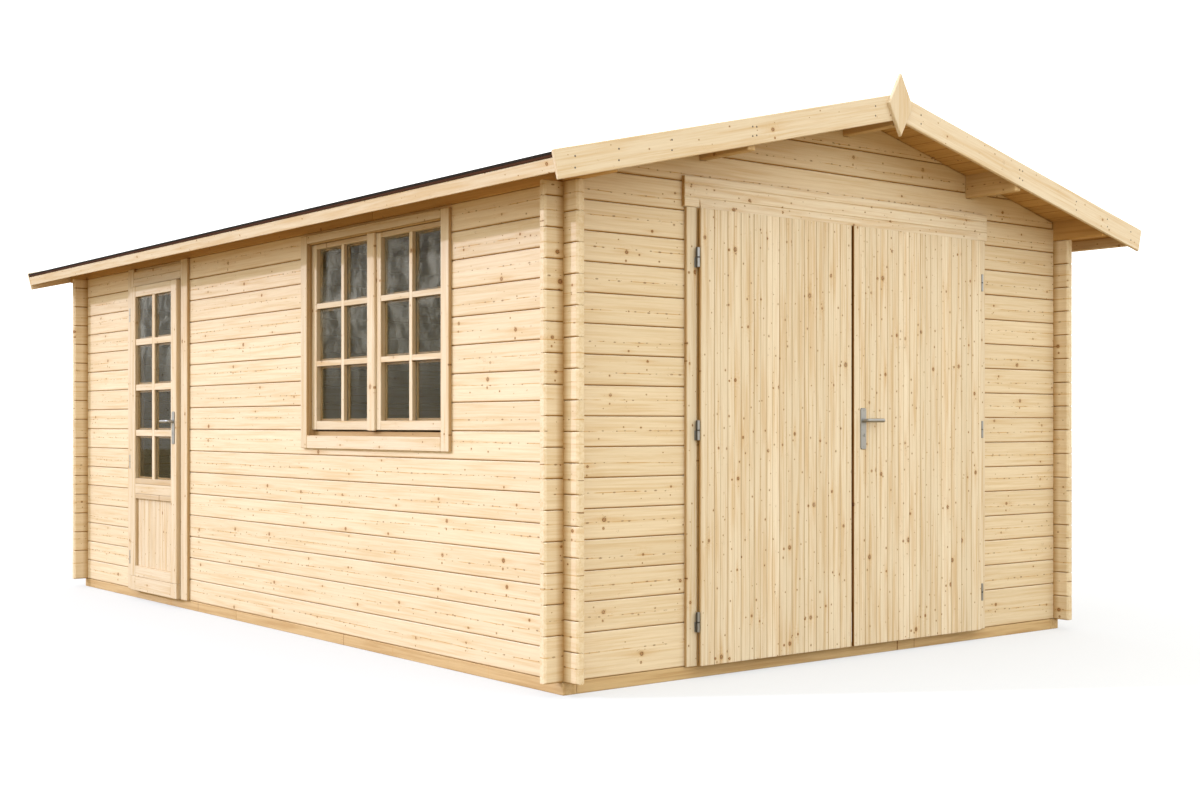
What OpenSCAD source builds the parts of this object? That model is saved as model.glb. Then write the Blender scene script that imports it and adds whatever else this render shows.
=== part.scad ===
// Log garage: crossed-corner log walls, a double door in the front gable,
// a glazed side door and a double window in the left wall, and a low gable roof.
// Millimetres. +X runs right along the front, +Y to the back, +Z up.
// The origin is the middle of the plan at ground level.

/* [Walls] */
// Width over the outer faces of the side walls
wall_w = 3420; // [3300:10:4000]
// Length over the outer faces of the front and back walls
wall_l = 5550; // [5450:10:7000]
// Thickness of a log
log_t = 44; // [38:1:60]
// Height that one log adds to the wall
course_h = 130; // [110:1:150]
// Length of the log ends past the crossed corners
stub_len = 95; // [60:5:160]
// Bevel on the long edges of each log
log_bevel = 5; // [2:0.5:8]

/* [Foundation] */
// Height of the foundation beams
base_h = 55; // [40:5:120]
// Width of the foundation beams
base_w = 70; // [60:5:120]

/* [Roof] */
// Slope of the roof in degrees
pitch = 13.5; // [12:0.5:18]
// Height of the eave log at its outer face
eave_log_h = 94; // [80:1:110]
// Overhang of the roof boards past the side walls
eave_over = 286; // [200:5:360]
// Overhang of the roof boards past the gables
gable_over = 312; // [200:2:400]
// Thickness of the roof boards
roof_board_t = 19; // [16:1:28]
// Thickness of the roofing felt
felt_t = 3.5; // [2:0.5:6]
// Height of a middle purlin
purlin_h = 112; // [90:2:124]
// Height of the ridge purlin
ridge_purlin_h = 120; // [90:2:130]
// Width of a ridge or middle purlin
purlin_w = 44; // [38:1:70]
// Distance of a middle purlin from the ridge
purlin_x = 930; // [800:10:1100]
// Height of the eave fascia
fascia_h = 57; // [40:1:90]
// Thickness of the eave fascia
fascia_t = 20; // [16:1:28]
// Height of a bargeboard
barge_h = 118; // [100:2:160]
// Thickness of a bargeboard
barge_t = 18; // [16:1:28]
// Height of a bargeboard's upper edge above the felt
barge_lip = 7; // [2:1:20]
// Width of the diamond at the top of a gable
diamond_w = 166; // [100:2:200]
// Height of the diamond
diamond_h = 294; // [240:2:360]
// Thickness of the diamond
diamond_t = 18; // [16:1:28]
// Depth of the diamond's middle below the roof's underside at the ridge
diamond_drop = 24; // [0:1:60]

/* [Double door] */
// Width of one leaf of the double door
leaf_w = 978; // [900:1:1020]
// Height of a leaf
leaf_h = 2024; // [1800:1:2300]
// Thickness of a leaf's boards
leaf_t = 18; // [16:1:24]
// Gap between the two leaves
leaf_gap = 9; // [6:0.5:12]
// Width of the upright trim beside the double door
door_trim_w = 72; // [64:1:110]
// Height of the header board over the double door
header_h = 98; // [80:1:120]
// Height of the drip strip under the header board
drip_h = 39; // [30:1:50]
// Width of a rail on the back of a leaf
rail_w = 110; // [80:5:150]
// Thickness of a rail on the back of a leaf
rail_t = 27; // [20:1:32]
// Distance of the outer rails from the leaf's ends
rail_end = 154; // [100:2:260]
// Height of the lowest hinge above the leaf's lower edge
hinge_low = 195; // [120:1:320]
// Distance of the highest hinge from the leaf's upper edge
hinge_high = 216; // [120:1:320]
// Height of the middle hinge above the leaf's middle
hinge_rise = 31; // [0:1:100]

/* [Side door] */
// Width of the side door
sdoor_w = 740; // [680:5:800]
// Height of the side door
sdoor_h = 1957; // [1750:1:2200]
// Thickness of the side door
sdoor_t = 40; // [34:1:44]
// Distance of the side door's middle from the front wall's outer face
sdoor_y = 4245; // [4100:1:4400]
// Width of a stile of the side door
sdoor_stile = 84; // [70:1:110]
// Height of the side door's top rail
sdoor_top = 68; // [60:1:110]
// Height of the side door's middle rail
sdoor_mid = 130; // [100:5:160]
// Height of the side door's bottom rail
sdoor_foot = 160; // [120:5:220]
// Height of the middle rail's underside above the door's lower edge
sdoor_mid_z = 593; // [500:1:700]
// Width of the upright trim beside the side door
sdoor_trim_w = 96; // [70:1:110]
// Height of the board over the side door
sdoor_head_h = 96; // [80:1:110]
// Height of the lowest hinge above the side door's lower edge
sdoor_hinge_low = 210; // [120:1:320]
// Distance of the highest hinge from the side door's upper edge
sdoor_hinge_high = 179; // [120:1:320]
// Depth of the middle hinge below the side door's middle
sdoor_hinge_drop = 150; // [0:5:200]

/* [Window] */
// Distance of the window's middle from the front wall's outer face
window_y = 1572; // [1400:1:1700]
// Width over the window's outer trims
window_w = 1448; // [1300:2:1600]
// Height of the window trim's lower edge above the logs' foot
window_z = 945; // [900:5:1000]
// Height over the window's outer trims
window_h = 1120; // [900:5:1300]
// Width of the side and lower window trims
window_trim_w = 68; // [60:1:90]
// Width of the upper window trim
window_head_w = 42; // [40:1:90]
// Width of a sash's stile
sash_w = 52; // [44:1:64]
// Height of a sash's bottom rail
sash_foot = 46; // [40:1:64]
// Height of a sash's top rail
sash_head = 24; // [20:1:64]
// Thickness of a sash
sash_t = 36; // [30:1:40]
// Depth of the sashes behind the wall's outer face
sash_set = 16; // [14:1:22]
// Width of the window frame's upright members
frame_w = 40; // [34:1:50]

/* [Trim, glass and hardware] */
// Thickness of the door and window trims
trim_t = 20; // [16:1:24]
// Distance that trims reach over the logs beside an opening
trim_cover = 30; // [20:1:34]
// Distance that a door leaf's front stands out from the wall's outer face
leaf_stand = 45; // [45:1:52]
// Thickness of the glass
glass_t = 4; // [3:0.5:6]
// Depth that glass and panels reach into the members around them
rebate = 12; // [8:1:16]
// Radius of a hinge barrel
barrel_r = 9; // [8:0.5:10]
// Height of one half of a hinge barrel
barrel_h = 44; // [34:1:50]
// Radius of a hinge pin
pin_r = 4; // [3:0.5:5]
// Distance of the hinge axis outside the leaf's edge
hinge_out = 11; // [11:0.5:16]
// Height of a handle plate
plate_h = 200; // [160:5:240]
// Width of a handle plate
plate_w = 40; // [34:1:50]
// Length of a handle lever
lever_len = 108; // [90:1:140]
// Height of the handle levers above the logs' foot
lever_z = 1090; // [1000:5:1150]

/* [Hidden] */

$fn = 48;

// Named clearances
fit_gap = 6;      // between a leaf and the trim, head or neighbour beside it
pin_gap = 0.05;   // between a hinge pin and its bore, on the radius
barrel_gap = 1;   // between the two halves of a hinge
mitre_gap = 2;    // between two bargeboards under the diamond
seat_gap = 0.02;  // between the roof boards and the timbers that carry them
sink_gap = 2;     // between the leaves' lower edge and the logs' foot
top_gap = 12;     // between the window or side-door trims and the eave log
header_gap = 60;  // between the header board and the middle purlins

half_w = wall_w / 2;
half_l = wall_l / 2;

// The walls have as many whole logs as the tallest opening needs
purlin_rise = eave_log_h + (half_w - purlin_x) * tan(pitch) - purlin_h;
window_need = window_z + window_h + top_gap;
sdoor_need = sink_gap + sdoor_h + fit_gap + sdoor_head_h + top_gap;
leaf_need = sink_gap + leaf_h + fit_gap + drip_h + header_h + header_gap - purlin_rise;
course_n = ceil(max(window_need, sdoor_need, leaf_need) / course_h);

// Levels
wall_top = base_h + course_n * course_h;
// The bargeboards end a little past the roof boards
barge_past = 3;
// Roof underside at the ridge, from the eave log's top at the wall's outer face
ridge_z = wall_top + eave_log_h + half_w * tan(pitch);
// Run down the slope to the boards' lower end
board_run = (half_w + eave_over) / cos(pitch);
roof_half_l = half_l + gable_over;
felt_off = roof_board_t + felt_t;
barge_top = felt_off + barge_lip;
barge_run = board_run + barge_past;

// Double door
leaf_z = base_h + sink_gap;
door_half = leaf_w + leaf_gap / 2;
door_head_z = leaf_z + leaf_h + fit_gap;
stop_lap = 25;      // of the leaf in front of its jamb
trim_lap = 10;      // of the leaf in front of its trim
head_lap = 12;      // of a head or jamb behind the leaf's edge
head_up = 30;       // of a head above the leaf's opening
rail_gap = 45;      // between a rail's end and the jamb
rail_meet = 30;     // between a rail's end and the leaf's meeting edge
door_clear = door_half - stop_lap;
door_trim_in = door_half - trim_lap;
door_trim_out = door_trim_in + door_trim_w;
door_cover = 14;    // more trim over the logs than at the window
door_rough = door_trim_out - trim_cover - door_cover;
rail_inset = stop_lap + rail_gap;
header_past = 14;   // of the header's ends past the trims
header_out = door_trim_out + header_past;
header_t = trim_t + 2;
drip_out = 8;       // of the drip strip in front of the header
drip_slope = 6;     // of the drip strip's upper edge
groove_w = 4;       // depth of a groove in the header
groove_low = 12;    // above the drip strip
groove_high = 34;   // below the header's top

// Side door, placed along Y in the left wall
sdoor_cover = 36;   // more trim over the logs than at the window
sdoor_mid_y = -half_l + sdoor_y;
sdoor_half = sdoor_w / 2;
sdoor_head_z = leaf_z + sdoor_h + fit_gap;
sdoor_trim_in = sdoor_half + fit_gap;
sdoor_trim_out = sdoor_trim_in + sdoor_trim_w;
sdoor_rough = sdoor_trim_out - trim_cover - sdoor_cover;
sdoor_clear = sdoor_half - head_lap;
sdoor_front = -leaf_stand;
sdoor_back = -leaf_stand + sdoor_t;
glass_in = 19;      // of the glass behind the side door's front
panel_in = 20;      // of the lower panel behind it
pane_low = leaf_z + sdoor_mid_z + sdoor_mid;
pane_high = leaf_z + sdoor_h - sdoor_top;
panel_low = leaf_z + sdoor_foot;
panel_high = leaf_z + sdoor_mid_z;
sdoor_in = sdoor_half - sdoor_stile;
panel_t = 12;

// Window, placed along Y in the left wall
win_mid_y = -half_l + window_y;
win_half = window_w / 2;
win_rough_half = win_half - trim_cover;
win_trim_low = base_h + window_z;
win_trim_high = win_trim_low + window_h;
win_low = win_trim_low + trim_cover;
win_high = win_trim_high - trim_cover;
sash_gap = 3;       // beside and over a sash
sash_seat = 0.3;    // under a sash, where it stands on the frame
frame_lap = 12;     // of a sash behind its frame's edge
sash_glass_in = 12; // of the glass behind a sash's front
frame_d = sash_set + sash_t;
sill_show = 30;     // of the frame seen between the lower trim and the sashes
head_show = 6;      // of the frame seen between the sashes and the upper trim
sash_low = win_trim_low + window_trim_w + sill_show;
sash_high = win_trim_high - window_head_w - head_show;
sash_out = win_rough_half - frame_w + frame_lap;

// The left wall is split at the joint just below the lowest opening's head
split_n = floor((min(win_high, sdoor_head_z + head_up) - base_h) / course_h);
top_log_z = base_h + split_n * course_h;

// Hinges
hinge_y = leaf_stand - barrel_r;
strap_t = 5;
hinge_foot_w = 7;
hinge_foot_t = 3;
pin_short = 4;      // of the pin below the upper barrel's end
leaf_hinge_zs = [hinge_low, leaf_h / 2 + hinge_rise, leaf_h - hinge_high];
sdoor_hinge_zs = [sdoor_hinge_low, sdoor_h / 2 - sdoor_hinge_drop, sdoor_h - sdoor_hinge_high];

// Handles
plate_t = 4;
plate_edge = 2;
neck_r = 9;
lever_r = 10;
lever_out = 48;
grip_past = 2;      // of the grip past the neck
plate_up = 60;      // of the plate above the lever's axis
key_drop = 72;      // of the keyhole below it
key_r = 8.5;
handle_in = 68;     // of the lever's axis from the leaf's meeting edge
handle_x = leaf_gap / 2 + handle_in;
handle_z = base_h + lever_z;

// Heights of the joints between the logs
side_joints = [for (k = [1:course_n]) base_h + k * course_h];
gable_n = ceil((ridge_z - base_h) / course_h);
gable_joints = [for (k = [1:gable_n]) base_h + (k + 0.5) * course_h];

// Colours
wood = [0.91, 0.80, 0.62];
wood_dark = [0.78, 0.62, 0.42];
wood_soft = [0.94, 0.85, 0.69];
steel = [0.72, 0.72, 0.72];
felt_c = [0.16, 0.12, 0.11];
glass_c = [0.45, 0.50, 0.52];

function slope_pt(run, off) =
    [run * cos(pitch) + off * sin(pitch), ridge_z - run * sin(pitch) + off * cos(pitch)];
function ridge_pt(off) = [0, ridge_z + off / cos(pitch)];
function roof_under(x) = ridge_z - abs(x) * tan(pitch) - seat_gap;

// ---------- general shapes ----------

// A box given by its low and high corners
module block(a, b) {
    translate(a) cube(b - a);
}

// Cross-section of a log wall from z0 to z1: thickness along x, bevelled at the joints
module log_section(z0, z1, joints) {
    inside = [for (z = joints) if (z > z0 + log_bevel && z < z1 - log_bevel) z];
    near = [for (z = inside) each [[0, z - log_bevel], [log_bevel, z], [0, z + log_bevel]]];
    n = len(inside);
    far = [for (i = [n - 1:-1:0]) let (z = inside[i])
        each [[log_t, z + log_bevel], [log_t - log_bevel, z], [log_t, z - log_bevel]]];
    polygon(concat([[0, z0]], near, [[0, z1], [log_t, z1]], far, [[log_t, z0]]));
}

// Logs of a side wall from y0 to y1, outer face on x = 0, thickness towards +x
module side_logs(y0, y1, z0, z1) {
    translate([0, y1, 0]) rotate([90, 0, 0])
        linear_extrude(height = y1 - y0) log_section(z0, z1, side_joints);
}

// Logs of a gable wall from x0 to x1, outer face on y = 0, thickness towards +y
module gable_logs(x0, x1, z0, z1) {
    translate([x0, 0, 0]) rotate([90, 0, 90])
        linear_extrude(height = x1 - x0) log_section(z0, z1, gable_joints);
}

// The column where a side wall and a gable wall cross, sx and sy its signs
module corner(sx, sy) {
    x0 = sx < 0 ? -half_w : half_w - log_t;
    y0 = sy < 0 ? -half_l : half_l - log_t;
    translate([x0, y0, base_h]) cube([log_t, log_t, wall_top - base_h]);
}

// The half logs of the side walls inside the crossing columns
module side_keep(sx, sy) {
    x0 = sx < 0 ? -half_w : half_w - log_t;
    y0 = sy < 0 ? -half_l : half_l - log_t;
    for (k = [0:course_n - 1])
        translate([x0, y0, base_h + (k + 0.25) * course_h]) cube([log_t, log_t, course_h / 2]);
}

// A gable wall's logs leave room for the side walls' half logs
module gable_notches(sy) {
    for (sx = [-1, 1]) side_keep(sx, sy);
}

// A side wall's logs leave room for the gable walls' half logs
module side_notches(sx) {
    for (sy = [-1, 1]) difference() {
        corner(sx, sy);
        side_keep(sx, sy);
    }
}

// Half of the roof's cross-section between two heights above its underside
module roof_half_section(off0, off1, run) {
    polygon([ridge_pt(off0), slope_pt(run, off0), slope_pt(run, off1), ridge_pt(off1)]);
}

// Extrudes an x-z section along Y from y0 to y1
module along_y(y0, y1) {
    translate([0, y1, 0]) rotate([90, 0, 0]) linear_extrude(height = y1 - y0) children();
}

module both_sides() {
    children();
    mirror([1, 0, 0]) children();
}

module both_ends() {
    children();
    mirror([0, 1, 0]) children();
}

// ---------- foundation ----------

module foundation_side_beams() {
    color(wood_dark) both_sides()
        block([-half_w, -half_l, 0], [-half_w + base_w, half_l, base_h]);
}

module foundation_cross_beams() {
    color(wood_dark) both_ends()
        block([-half_w + base_w, -half_l, 0], [half_w - base_w, -half_l + base_w, base_h]);
}

// ---------- log walls ----------

// The left wall's logs before its openings are cut
module left_wall_logs(y0, y1, z0, z1) {
    difference() {
        translate([-half_w, 0, 0]) side_logs(y0, y1, z0, z1);
        side_notches(-1);
    }
}

// The spaces that the side door and the window need in the left wall
module left_openings() {
    block([-half_w - 1, sdoor_mid_y - sdoor_rough, base_h - 1],
        [-half_w + log_t + 1, sdoor_mid_y + sdoor_rough, sdoor_head_z + head_up]);
    block([-half_w - 1, win_mid_y - win_rough_half, win_low],
        [-half_w + log_t + 1, win_mid_y + win_rough_half, win_high]);
}

module left_wall_front() {
    color(wood) left_wall_logs(-half_l - stub_len, win_mid_y - win_rough_half, base_h, top_log_z);
}

module left_wall_middle() {
    color(wood) left_wall_logs(win_mid_y + win_rough_half, sdoor_mid_y - sdoor_rough,
        base_h, top_log_z);
}

module left_wall_rear() {
    color(wood) left_wall_logs(sdoor_mid_y + sdoor_rough, half_l + stub_len, base_h, top_log_z);
}

module left_wall_under_window() {
    color(wood) left_wall_logs(win_mid_y - win_rough_half, win_mid_y + win_rough_half,
        base_h, win_low);
}

module left_wall_top() {
    color(wood) difference() {
        left_wall_logs(-half_l - stub_len, half_l + stub_len, top_log_z, wall_top);
        left_openings();
    }
}

module right_wall() {
    color(wood) difference() {
        translate([half_w - log_t, 0, 0])
            side_logs(-half_l - stub_len, half_l + stub_len, base_h, wall_top);
        side_notches(1);
    }
}

// The outline of a gable wall seen from the front, up to the roof boards
module gable_outline(z0) {
    difference() {
        along_y(-half_l - 1, half_l + 1) polygon([
            [-half_w - stub_len - 1, z0], [half_w + stub_len + 1, z0],
            [half_w + stub_len + 1, wall_top], [half_w - log_t, wall_top],
            [half_w - log_t, roof_under(half_w - log_t)], [0, roof_under(0)],
            [-half_w + log_t, roof_under(half_w - log_t)], [-half_w + log_t, wall_top],
            [-half_w - stub_len - 1, wall_top]
        ]);
        purlin_bodies(roof_half_l);
    }
}

// A gable wall's logs at the front, between two heights
module front_logs(x0, x1, z0, z1) {
    difference() {
        translate([0, -half_l, 0]) gable_logs(x0, x1, z0, z1);
        gable_notches(-1);
    }
}

module front_wall_left() {
    color(wood) front_logs(-half_w - stub_len, -door_rough, base_h, door_head_z);
}

module front_wall_right() {
    color(wood) front_logs(door_rough, half_w + stub_len, base_h, door_head_z);
}

module front_gable() {
    color(wood) intersection() {
        difference() {
            front_logs(-half_w - stub_len, half_w + stub_len, door_head_z, ridge_z);
            block([-door_rough, -half_l - 1, door_head_z - 1],
                [door_rough, -half_l + log_t + 1, door_head_z + head_up]);
        }
        gable_outline(door_head_z);
    }
}

module back_wall() {
    color(wood) intersection() {
        difference() {
            translate([0, half_l - log_t, 0])
                gable_logs(-half_w - stub_len, half_w + stub_len, base_h, ridge_z);
            gable_notches(1);
        }
        gable_outline(base_h);
    }
}

// ---------- roof ----------

// The eave logs: full length, their top planed to the slope
module eave_logs() {
    color(wood) both_sides()
        along_y(-roof_half_l, roof_half_l) polygon([
            [half_w - log_t, wall_top], [half_w, wall_top],
            [half_w, roof_under(half_w)], [half_w - log_t, roof_under(half_w - log_t)]
        ]);
}

// The ridge purlin and the two middle purlins, from gable end to gable end
module purlin_bodies(reach) {
    along_y(-reach, reach) {
        polygon([
            [-purlin_w / 2, ridge_z - ridge_purlin_h], [purlin_w / 2, ridge_z - ridge_purlin_h],
            [purlin_w / 2, roof_under(purlin_w / 2)], [0, roof_under(0)],
            [-purlin_w / 2, roof_under(purlin_w / 2)]
        ]);
        for (s = [-1, 1]) polygon([
            [s * (purlin_x - purlin_w / 2), roof_under(purlin_x) - purlin_h],
            [s * (purlin_x + purlin_w / 2), roof_under(purlin_x) - purlin_h],
            [s * (purlin_x + purlin_w / 2), roof_under(purlin_x + purlin_w / 2)],
            [s * (purlin_x - purlin_w / 2), roof_under(purlin_x - purlin_w / 2)]
        ]);
    }
}

module purlins() {
    color(wood) purlin_bodies(roof_half_l);
}

module roof_boards_right() {
    color(wood_dark) along_y(-roof_half_l, roof_half_l)
        roof_half_section(0, roof_board_t, board_run);
}

module roof_boards_left() {
    mirror([1, 0, 0]) roof_boards_right();
}

module roof_felt() {
    color(felt_c) along_y(-roof_half_l, roof_half_l) union() {
        roof_half_section(roof_board_t, felt_off, board_run);
        mirror([1, 0]) roof_half_section(roof_board_t, felt_off, board_run);
    }
}

module eave_fascias() {
    color(wood_soft) both_sides() along_y(-roof_half_l, roof_half_l) polygon([
        slope_pt(board_run - fascia_t, -fascia_h), slope_pt(board_run, -fascia_h),
        slope_pt(board_run, -seat_gap), slope_pt(board_run - fascia_t, -seat_gap)
    ]);
}

// Two bargeboards on the front gable, with a narrow gap where they meet
module bargeboard_pair() {
    difference() {
        along_y(-roof_half_l - barge_t, -roof_half_l) {
            roof_half_section(barge_top - barge_h, barge_top, barge_run);
            mirror([1, 0]) roof_half_section(barge_top - barge_h, barge_top, barge_run);
        }
        block([-mitre_gap / 2, -roof_half_l - barge_t - 1, 0],
            [mitre_gap / 2, -roof_half_l + 1, 2 * ridge_z]);
    }
}

module front_bargeboards() {
    color(wood_soft) bargeboard_pair();
}

module back_bargeboards() {
    color(wood_soft) mirror([0, 1, 0]) bargeboard_pair();
}

module gable_diamonds() {
    color(wood_soft) both_ends()
        translate([0, 0, ridge_z - diamond_drop])
            along_y(-roof_half_l - barge_t - diamond_t, -roof_half_l - barge_t) polygon([
                [-diamond_w / 2, 0], [0, -diamond_h / 2], [diamond_w / 2, 0], [0, diamond_h / 2]
            ]);
}

// ---------- double door: frame and trims ----------

module double_door_jambs() {
    color(wood_dark) both_sides()
        block([-door_rough, -half_l, base_h],
            [-door_clear, -half_l + log_t, door_head_z - head_lap]);
}

module double_door_head() {
    color(wood_dark) block([-door_rough, -half_l, door_head_z - head_lap],
        [door_rough, -half_l + log_t, door_head_z + head_up]);
}

module double_door_trims() {
    color(wood_soft) both_sides()
        block([-door_trim_out, -half_l - trim_t, base_h],
            [-door_trim_in, -half_l, door_head_z]);
}

// Header board with two grooves, and the thicker drip strip under it
module double_door_header() {
    face = -half_l - header_t;
    low = door_head_z;
    mid = low + drip_h;
    top = mid + header_h;
    g1 = mid + groove_low;
    g2 = top - groove_high;
    color(wood_soft) translate([-header_out, 0, 0]) rotate([90, 0, 90])
        linear_extrude(height = 2 * header_out) polygon([
            [-half_l, low], [face - drip_out, low], [face - drip_out, mid - drip_slope],
            [face, mid],
            [face, g1], [face + groove_w, g1 + groove_w], [face, g1 + 2 * groove_w],
            [face, g2], [face + groove_w, g2 + groove_w], [face, g2 + 2 * groove_w],
            [face, top], [-half_l, top]
        ]);
}

// ---------- double door: leaves ----------

// One leaf, drawn with its hinge edge on x = 0 and its boards towards +x
module leaf_boards() {
    block([0, -half_l - leaf_stand, leaf_z],
        [leaf_w, -half_l - leaf_stand + leaf_t, leaf_z + leaf_h]);
}

module leaf_rails() {
    back = -half_l - leaf_stand + leaf_t;
    for (z = [rail_end, (leaf_h - rail_w) / 2, leaf_h - rail_end - rail_w])
        block([rail_inset, back, leaf_z + z],
            [leaf_w - rail_meet, back + rail_t, leaf_z + z + rail_w]);
}

// Moves a leaf's pieces to the left opening edge, or mirrored to the right one
module at_left_leaf() {
    translate([-door_half, 0, 0]) children();
}

module at_right_leaf() {
    mirror([1, 0, 0]) at_left_leaf() children();
}

// Upper half of a hinge: bored barrel and the strap let into the leaf's edge.
// The axis is on x = 0, y = 0, the leaf lies towards +x.
module hinge_upper() {
    difference() {
        union() {
            cylinder(r = barrel_r, h = barrel_h);
            block([0, -strap_t / 2, 0], [hinge_out, strap_t / 2, barrel_h]);
        }
        translate([0, 0, -1]) cylinder(r = pin_r + pin_gap, h = barrel_h + 2);
    }
}

// Lower half of a hinge: barrel with the pin, and the foot on the trim's front
module hinge_lower() {
    trim_y = hinge_y - trim_t;
    translate([0, 0, -barrel_h - barrel_gap]) {
        cylinder(r = barrel_r, h = barrel_h);
        cylinder(r = pin_r, h = 2 * barrel_h + barrel_gap - pin_short);
        block([-strap_t / 2, 0, 0], [strap_t / 2, trim_y, barrel_h]);
        block([-hinge_foot_w, trim_y - hinge_foot_t, 0], [strap_t / 2, trim_y, barrel_h]);
    }
}

module leaf_hinges() {
    for (z = leaf_hinge_zs)
        translate([-hinge_out, -half_l - hinge_y, leaf_z + z]) hinge_upper();
}

module leaf_hinge_pins() {
    for (z = leaf_hinge_zs)
        translate([-hinge_out, -half_l - hinge_y, leaf_z + z]) hinge_lower();
}

module left_leaf_boards() {
    color(wood_soft) at_left_leaf() leaf_boards();
}

module left_leaf_rails() {
    color(wood_dark) at_left_leaf() leaf_rails();
}

module left_leaf_hinges() {
    color(steel) at_left_leaf() leaf_hinges();
}

module right_leaf_boards() {
    color(wood_soft) at_right_leaf() leaf_boards();
}

module right_leaf_rails() {
    color(wood_dark) at_right_leaf() leaf_rails();
}

module right_leaf_hinges() {
    color(steel) at_right_leaf() leaf_hinges();
}

// Handle plate, its front towards -y and its back on y = 0, round the lever's axis.
// The lever's neck turns in the plate's bore.

module handle_plate() {
    difference() {
        translate([0, 0, plate_up - plate_h]) linear_extrude(height = plate_h)
            polygon([[-plate_w / 2, 0], [-plate_w / 2, -plate_edge],
                [-plate_w / 2 + plate_edge, -plate_t], [plate_w / 2 - plate_edge, -plate_t],
                [plate_w / 2, -plate_edge], [plate_w / 2, 0]]);
        translate([0, 1, 0]) rotate([90, 0, 0]) cylinder(r = neck_r + pin_gap, h = plate_t + 2);
        translate([0, 1, -key_drop]) rotate([90, 0, 0]) cylinder(r = key_r, h = plate_t + 2);
    }
}

// Lever towards +x: neck out of the plate, then the grip
module handle_lever() {
    rotate([90, 0, 0]) cylinder(r = neck_r, h = lever_out - lever_r);
    translate([-neck_r - grip_past, -lever_out + lever_r, 0]) rotate([0, 90, 0])
        cylinder(r = lever_r, h = lever_len + neck_r + grip_past);
}

module right_leaf_handle_plate() {
    color(steel) translate([handle_x, -half_l - leaf_stand, handle_z]) handle_plate();
}

module right_leaf_lever() {
    color(steel) translate([handle_x, -half_l - leaf_stand, handle_z]) handle_lever();
}

// ---------- side door ----------

// Places a piece drawn with its front towards -y and its middle on x = 0
// at the side door in the left wall: its +x points to the front of the garage
module at_side_door() {
    translate([-half_w, sdoor_mid_y, 0]) rotate([0, 0, -90]) children();
}

module side_door_jambs() {
    color(wood_dark) at_side_door() both_sides()
        block([-sdoor_rough, 0, base_h], [-sdoor_clear, log_t, sdoor_head_z - head_lap]);
}

module side_door_head() {
    color(wood_dark) at_side_door()
        block([-sdoor_rough, 0, sdoor_head_z - head_lap],
            [sdoor_rough, log_t, sdoor_head_z + head_up]);
}

module side_door_trims() {
    color(wood_soft) at_side_door() both_sides()
        block([-sdoor_trim_out, -trim_t, base_h], [-sdoor_trim_in, 0, wall_top]);
}

module side_door_head_board() {
    color(wood_soft) at_side_door()
        block([-sdoor_trim_in, -trim_t, sdoor_head_z],
            [sdoor_trim_in, 0, sdoor_head_z + sdoor_head_h]);
}

// The seats of the glass and the lower panel in the members around them
module side_door_seats() {
    block([-sdoor_in - rebate, sdoor_front + glass_in, pane_low - rebate],
        [sdoor_in + rebate, sdoor_front + glass_in + glass_t, pane_high + rebate]);
    block([-sdoor_in - rebate, sdoor_front + panel_in, panel_low - rebate],
        [sdoor_in + rebate, sdoor_front + panel_in + panel_t, panel_high + rebate]);
}

module side_door_stiles() {
    color(wood_soft) at_side_door() difference() {
        both_sides() block([-sdoor_half, sdoor_front, leaf_z],
            [-sdoor_in, sdoor_back, leaf_z + sdoor_h]);
        side_door_seats();
    }
}

module side_door_rails() {
    color(wood_soft) at_side_door() difference() {
        for (z = [[leaf_z, panel_low], [panel_high, pane_low], [pane_high, leaf_z + sdoor_h]])
            block([-sdoor_in, sdoor_front, z[0]], [sdoor_in, sdoor_back, z[1]]);
        side_door_seats();
    }
}

module side_door_glass() {
    color(glass_c) at_side_door()
        block([-sdoor_in - rebate, sdoor_front + glass_in, pane_low - rebate],
            [sdoor_in + rebate, sdoor_front + glass_in + glass_t, pane_high + rebate]);
}

module side_door_panel() {
    color(wood_soft) at_side_door()
        block([-sdoor_in - rebate, sdoor_front + panel_in, panel_low - rebate],
            [sdoor_in + rebate, sdoor_front + panel_in + panel_t, panel_high + rebate]);
}

// The side door hangs at its rear edge, which is its -x edge as drawn
module sdoor_hinge_places() {
    for (z = sdoor_hinge_zs)
        translate([-sdoor_half - hinge_out, -hinge_y, leaf_z + z]) children();
}

module side_door_hinges() {
    color(steel) at_side_door() sdoor_hinge_places() hinge_upper();
}

module hinge_pins() {
    color(steel) {
        at_left_leaf() leaf_hinge_pins();
        at_right_leaf() leaf_hinge_pins();
        at_side_door() sdoor_hinge_places() hinge_lower();
    }
}

module at_side_handle() {
    at_side_door() translate([sdoor_half - sdoor_stile / 2, -leaf_stand, handle_z]) children();
}

module side_door_handle_plate() {
    color(steel) at_side_handle() handle_plate();
}

module side_door_lever() {
    color(steel) at_side_handle() mirror([1, 0, 0]) handle_lever();
}

// ---------- window ----------

// Places a piece drawn with its front towards -y and its middle on x = 0 at the window
module at_window() {
    translate([-half_w, win_mid_y, 0]) rotate([0, 0, -90]) children();
}

module window_side_trims() {
    color(wood_soft) at_window() both_sides()
        block([-win_half, -trim_t, win_trim_low], [-win_half + window_trim_w, 0, win_trim_high]);
}

module window_cross_trims() {
    side = win_half - window_trim_w;
    color(wood_soft) at_window() {
        block([-side, -trim_t, win_trim_low], [side, 0, win_trim_low + window_trim_w]);
        block([-side, -trim_t, win_trim_high - window_head_w], [side, 0, win_trim_high]);
    }
}

module window_frame_stiles() {
    color(wood_soft) at_window() both_sides()
        block([-win_rough_half, 0, win_low], [-sash_out - sash_gap, frame_d, win_high]);
}

module window_frame_rails() {
    side = sash_out + sash_gap;
    color(wood_soft) at_window() {
        block([-side, 0, win_low], [side, frame_d, sash_low - sash_seat]);
        block([-side, 0, sash_high + sash_gap], [side, frame_d, win_high]);
    }
}

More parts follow.
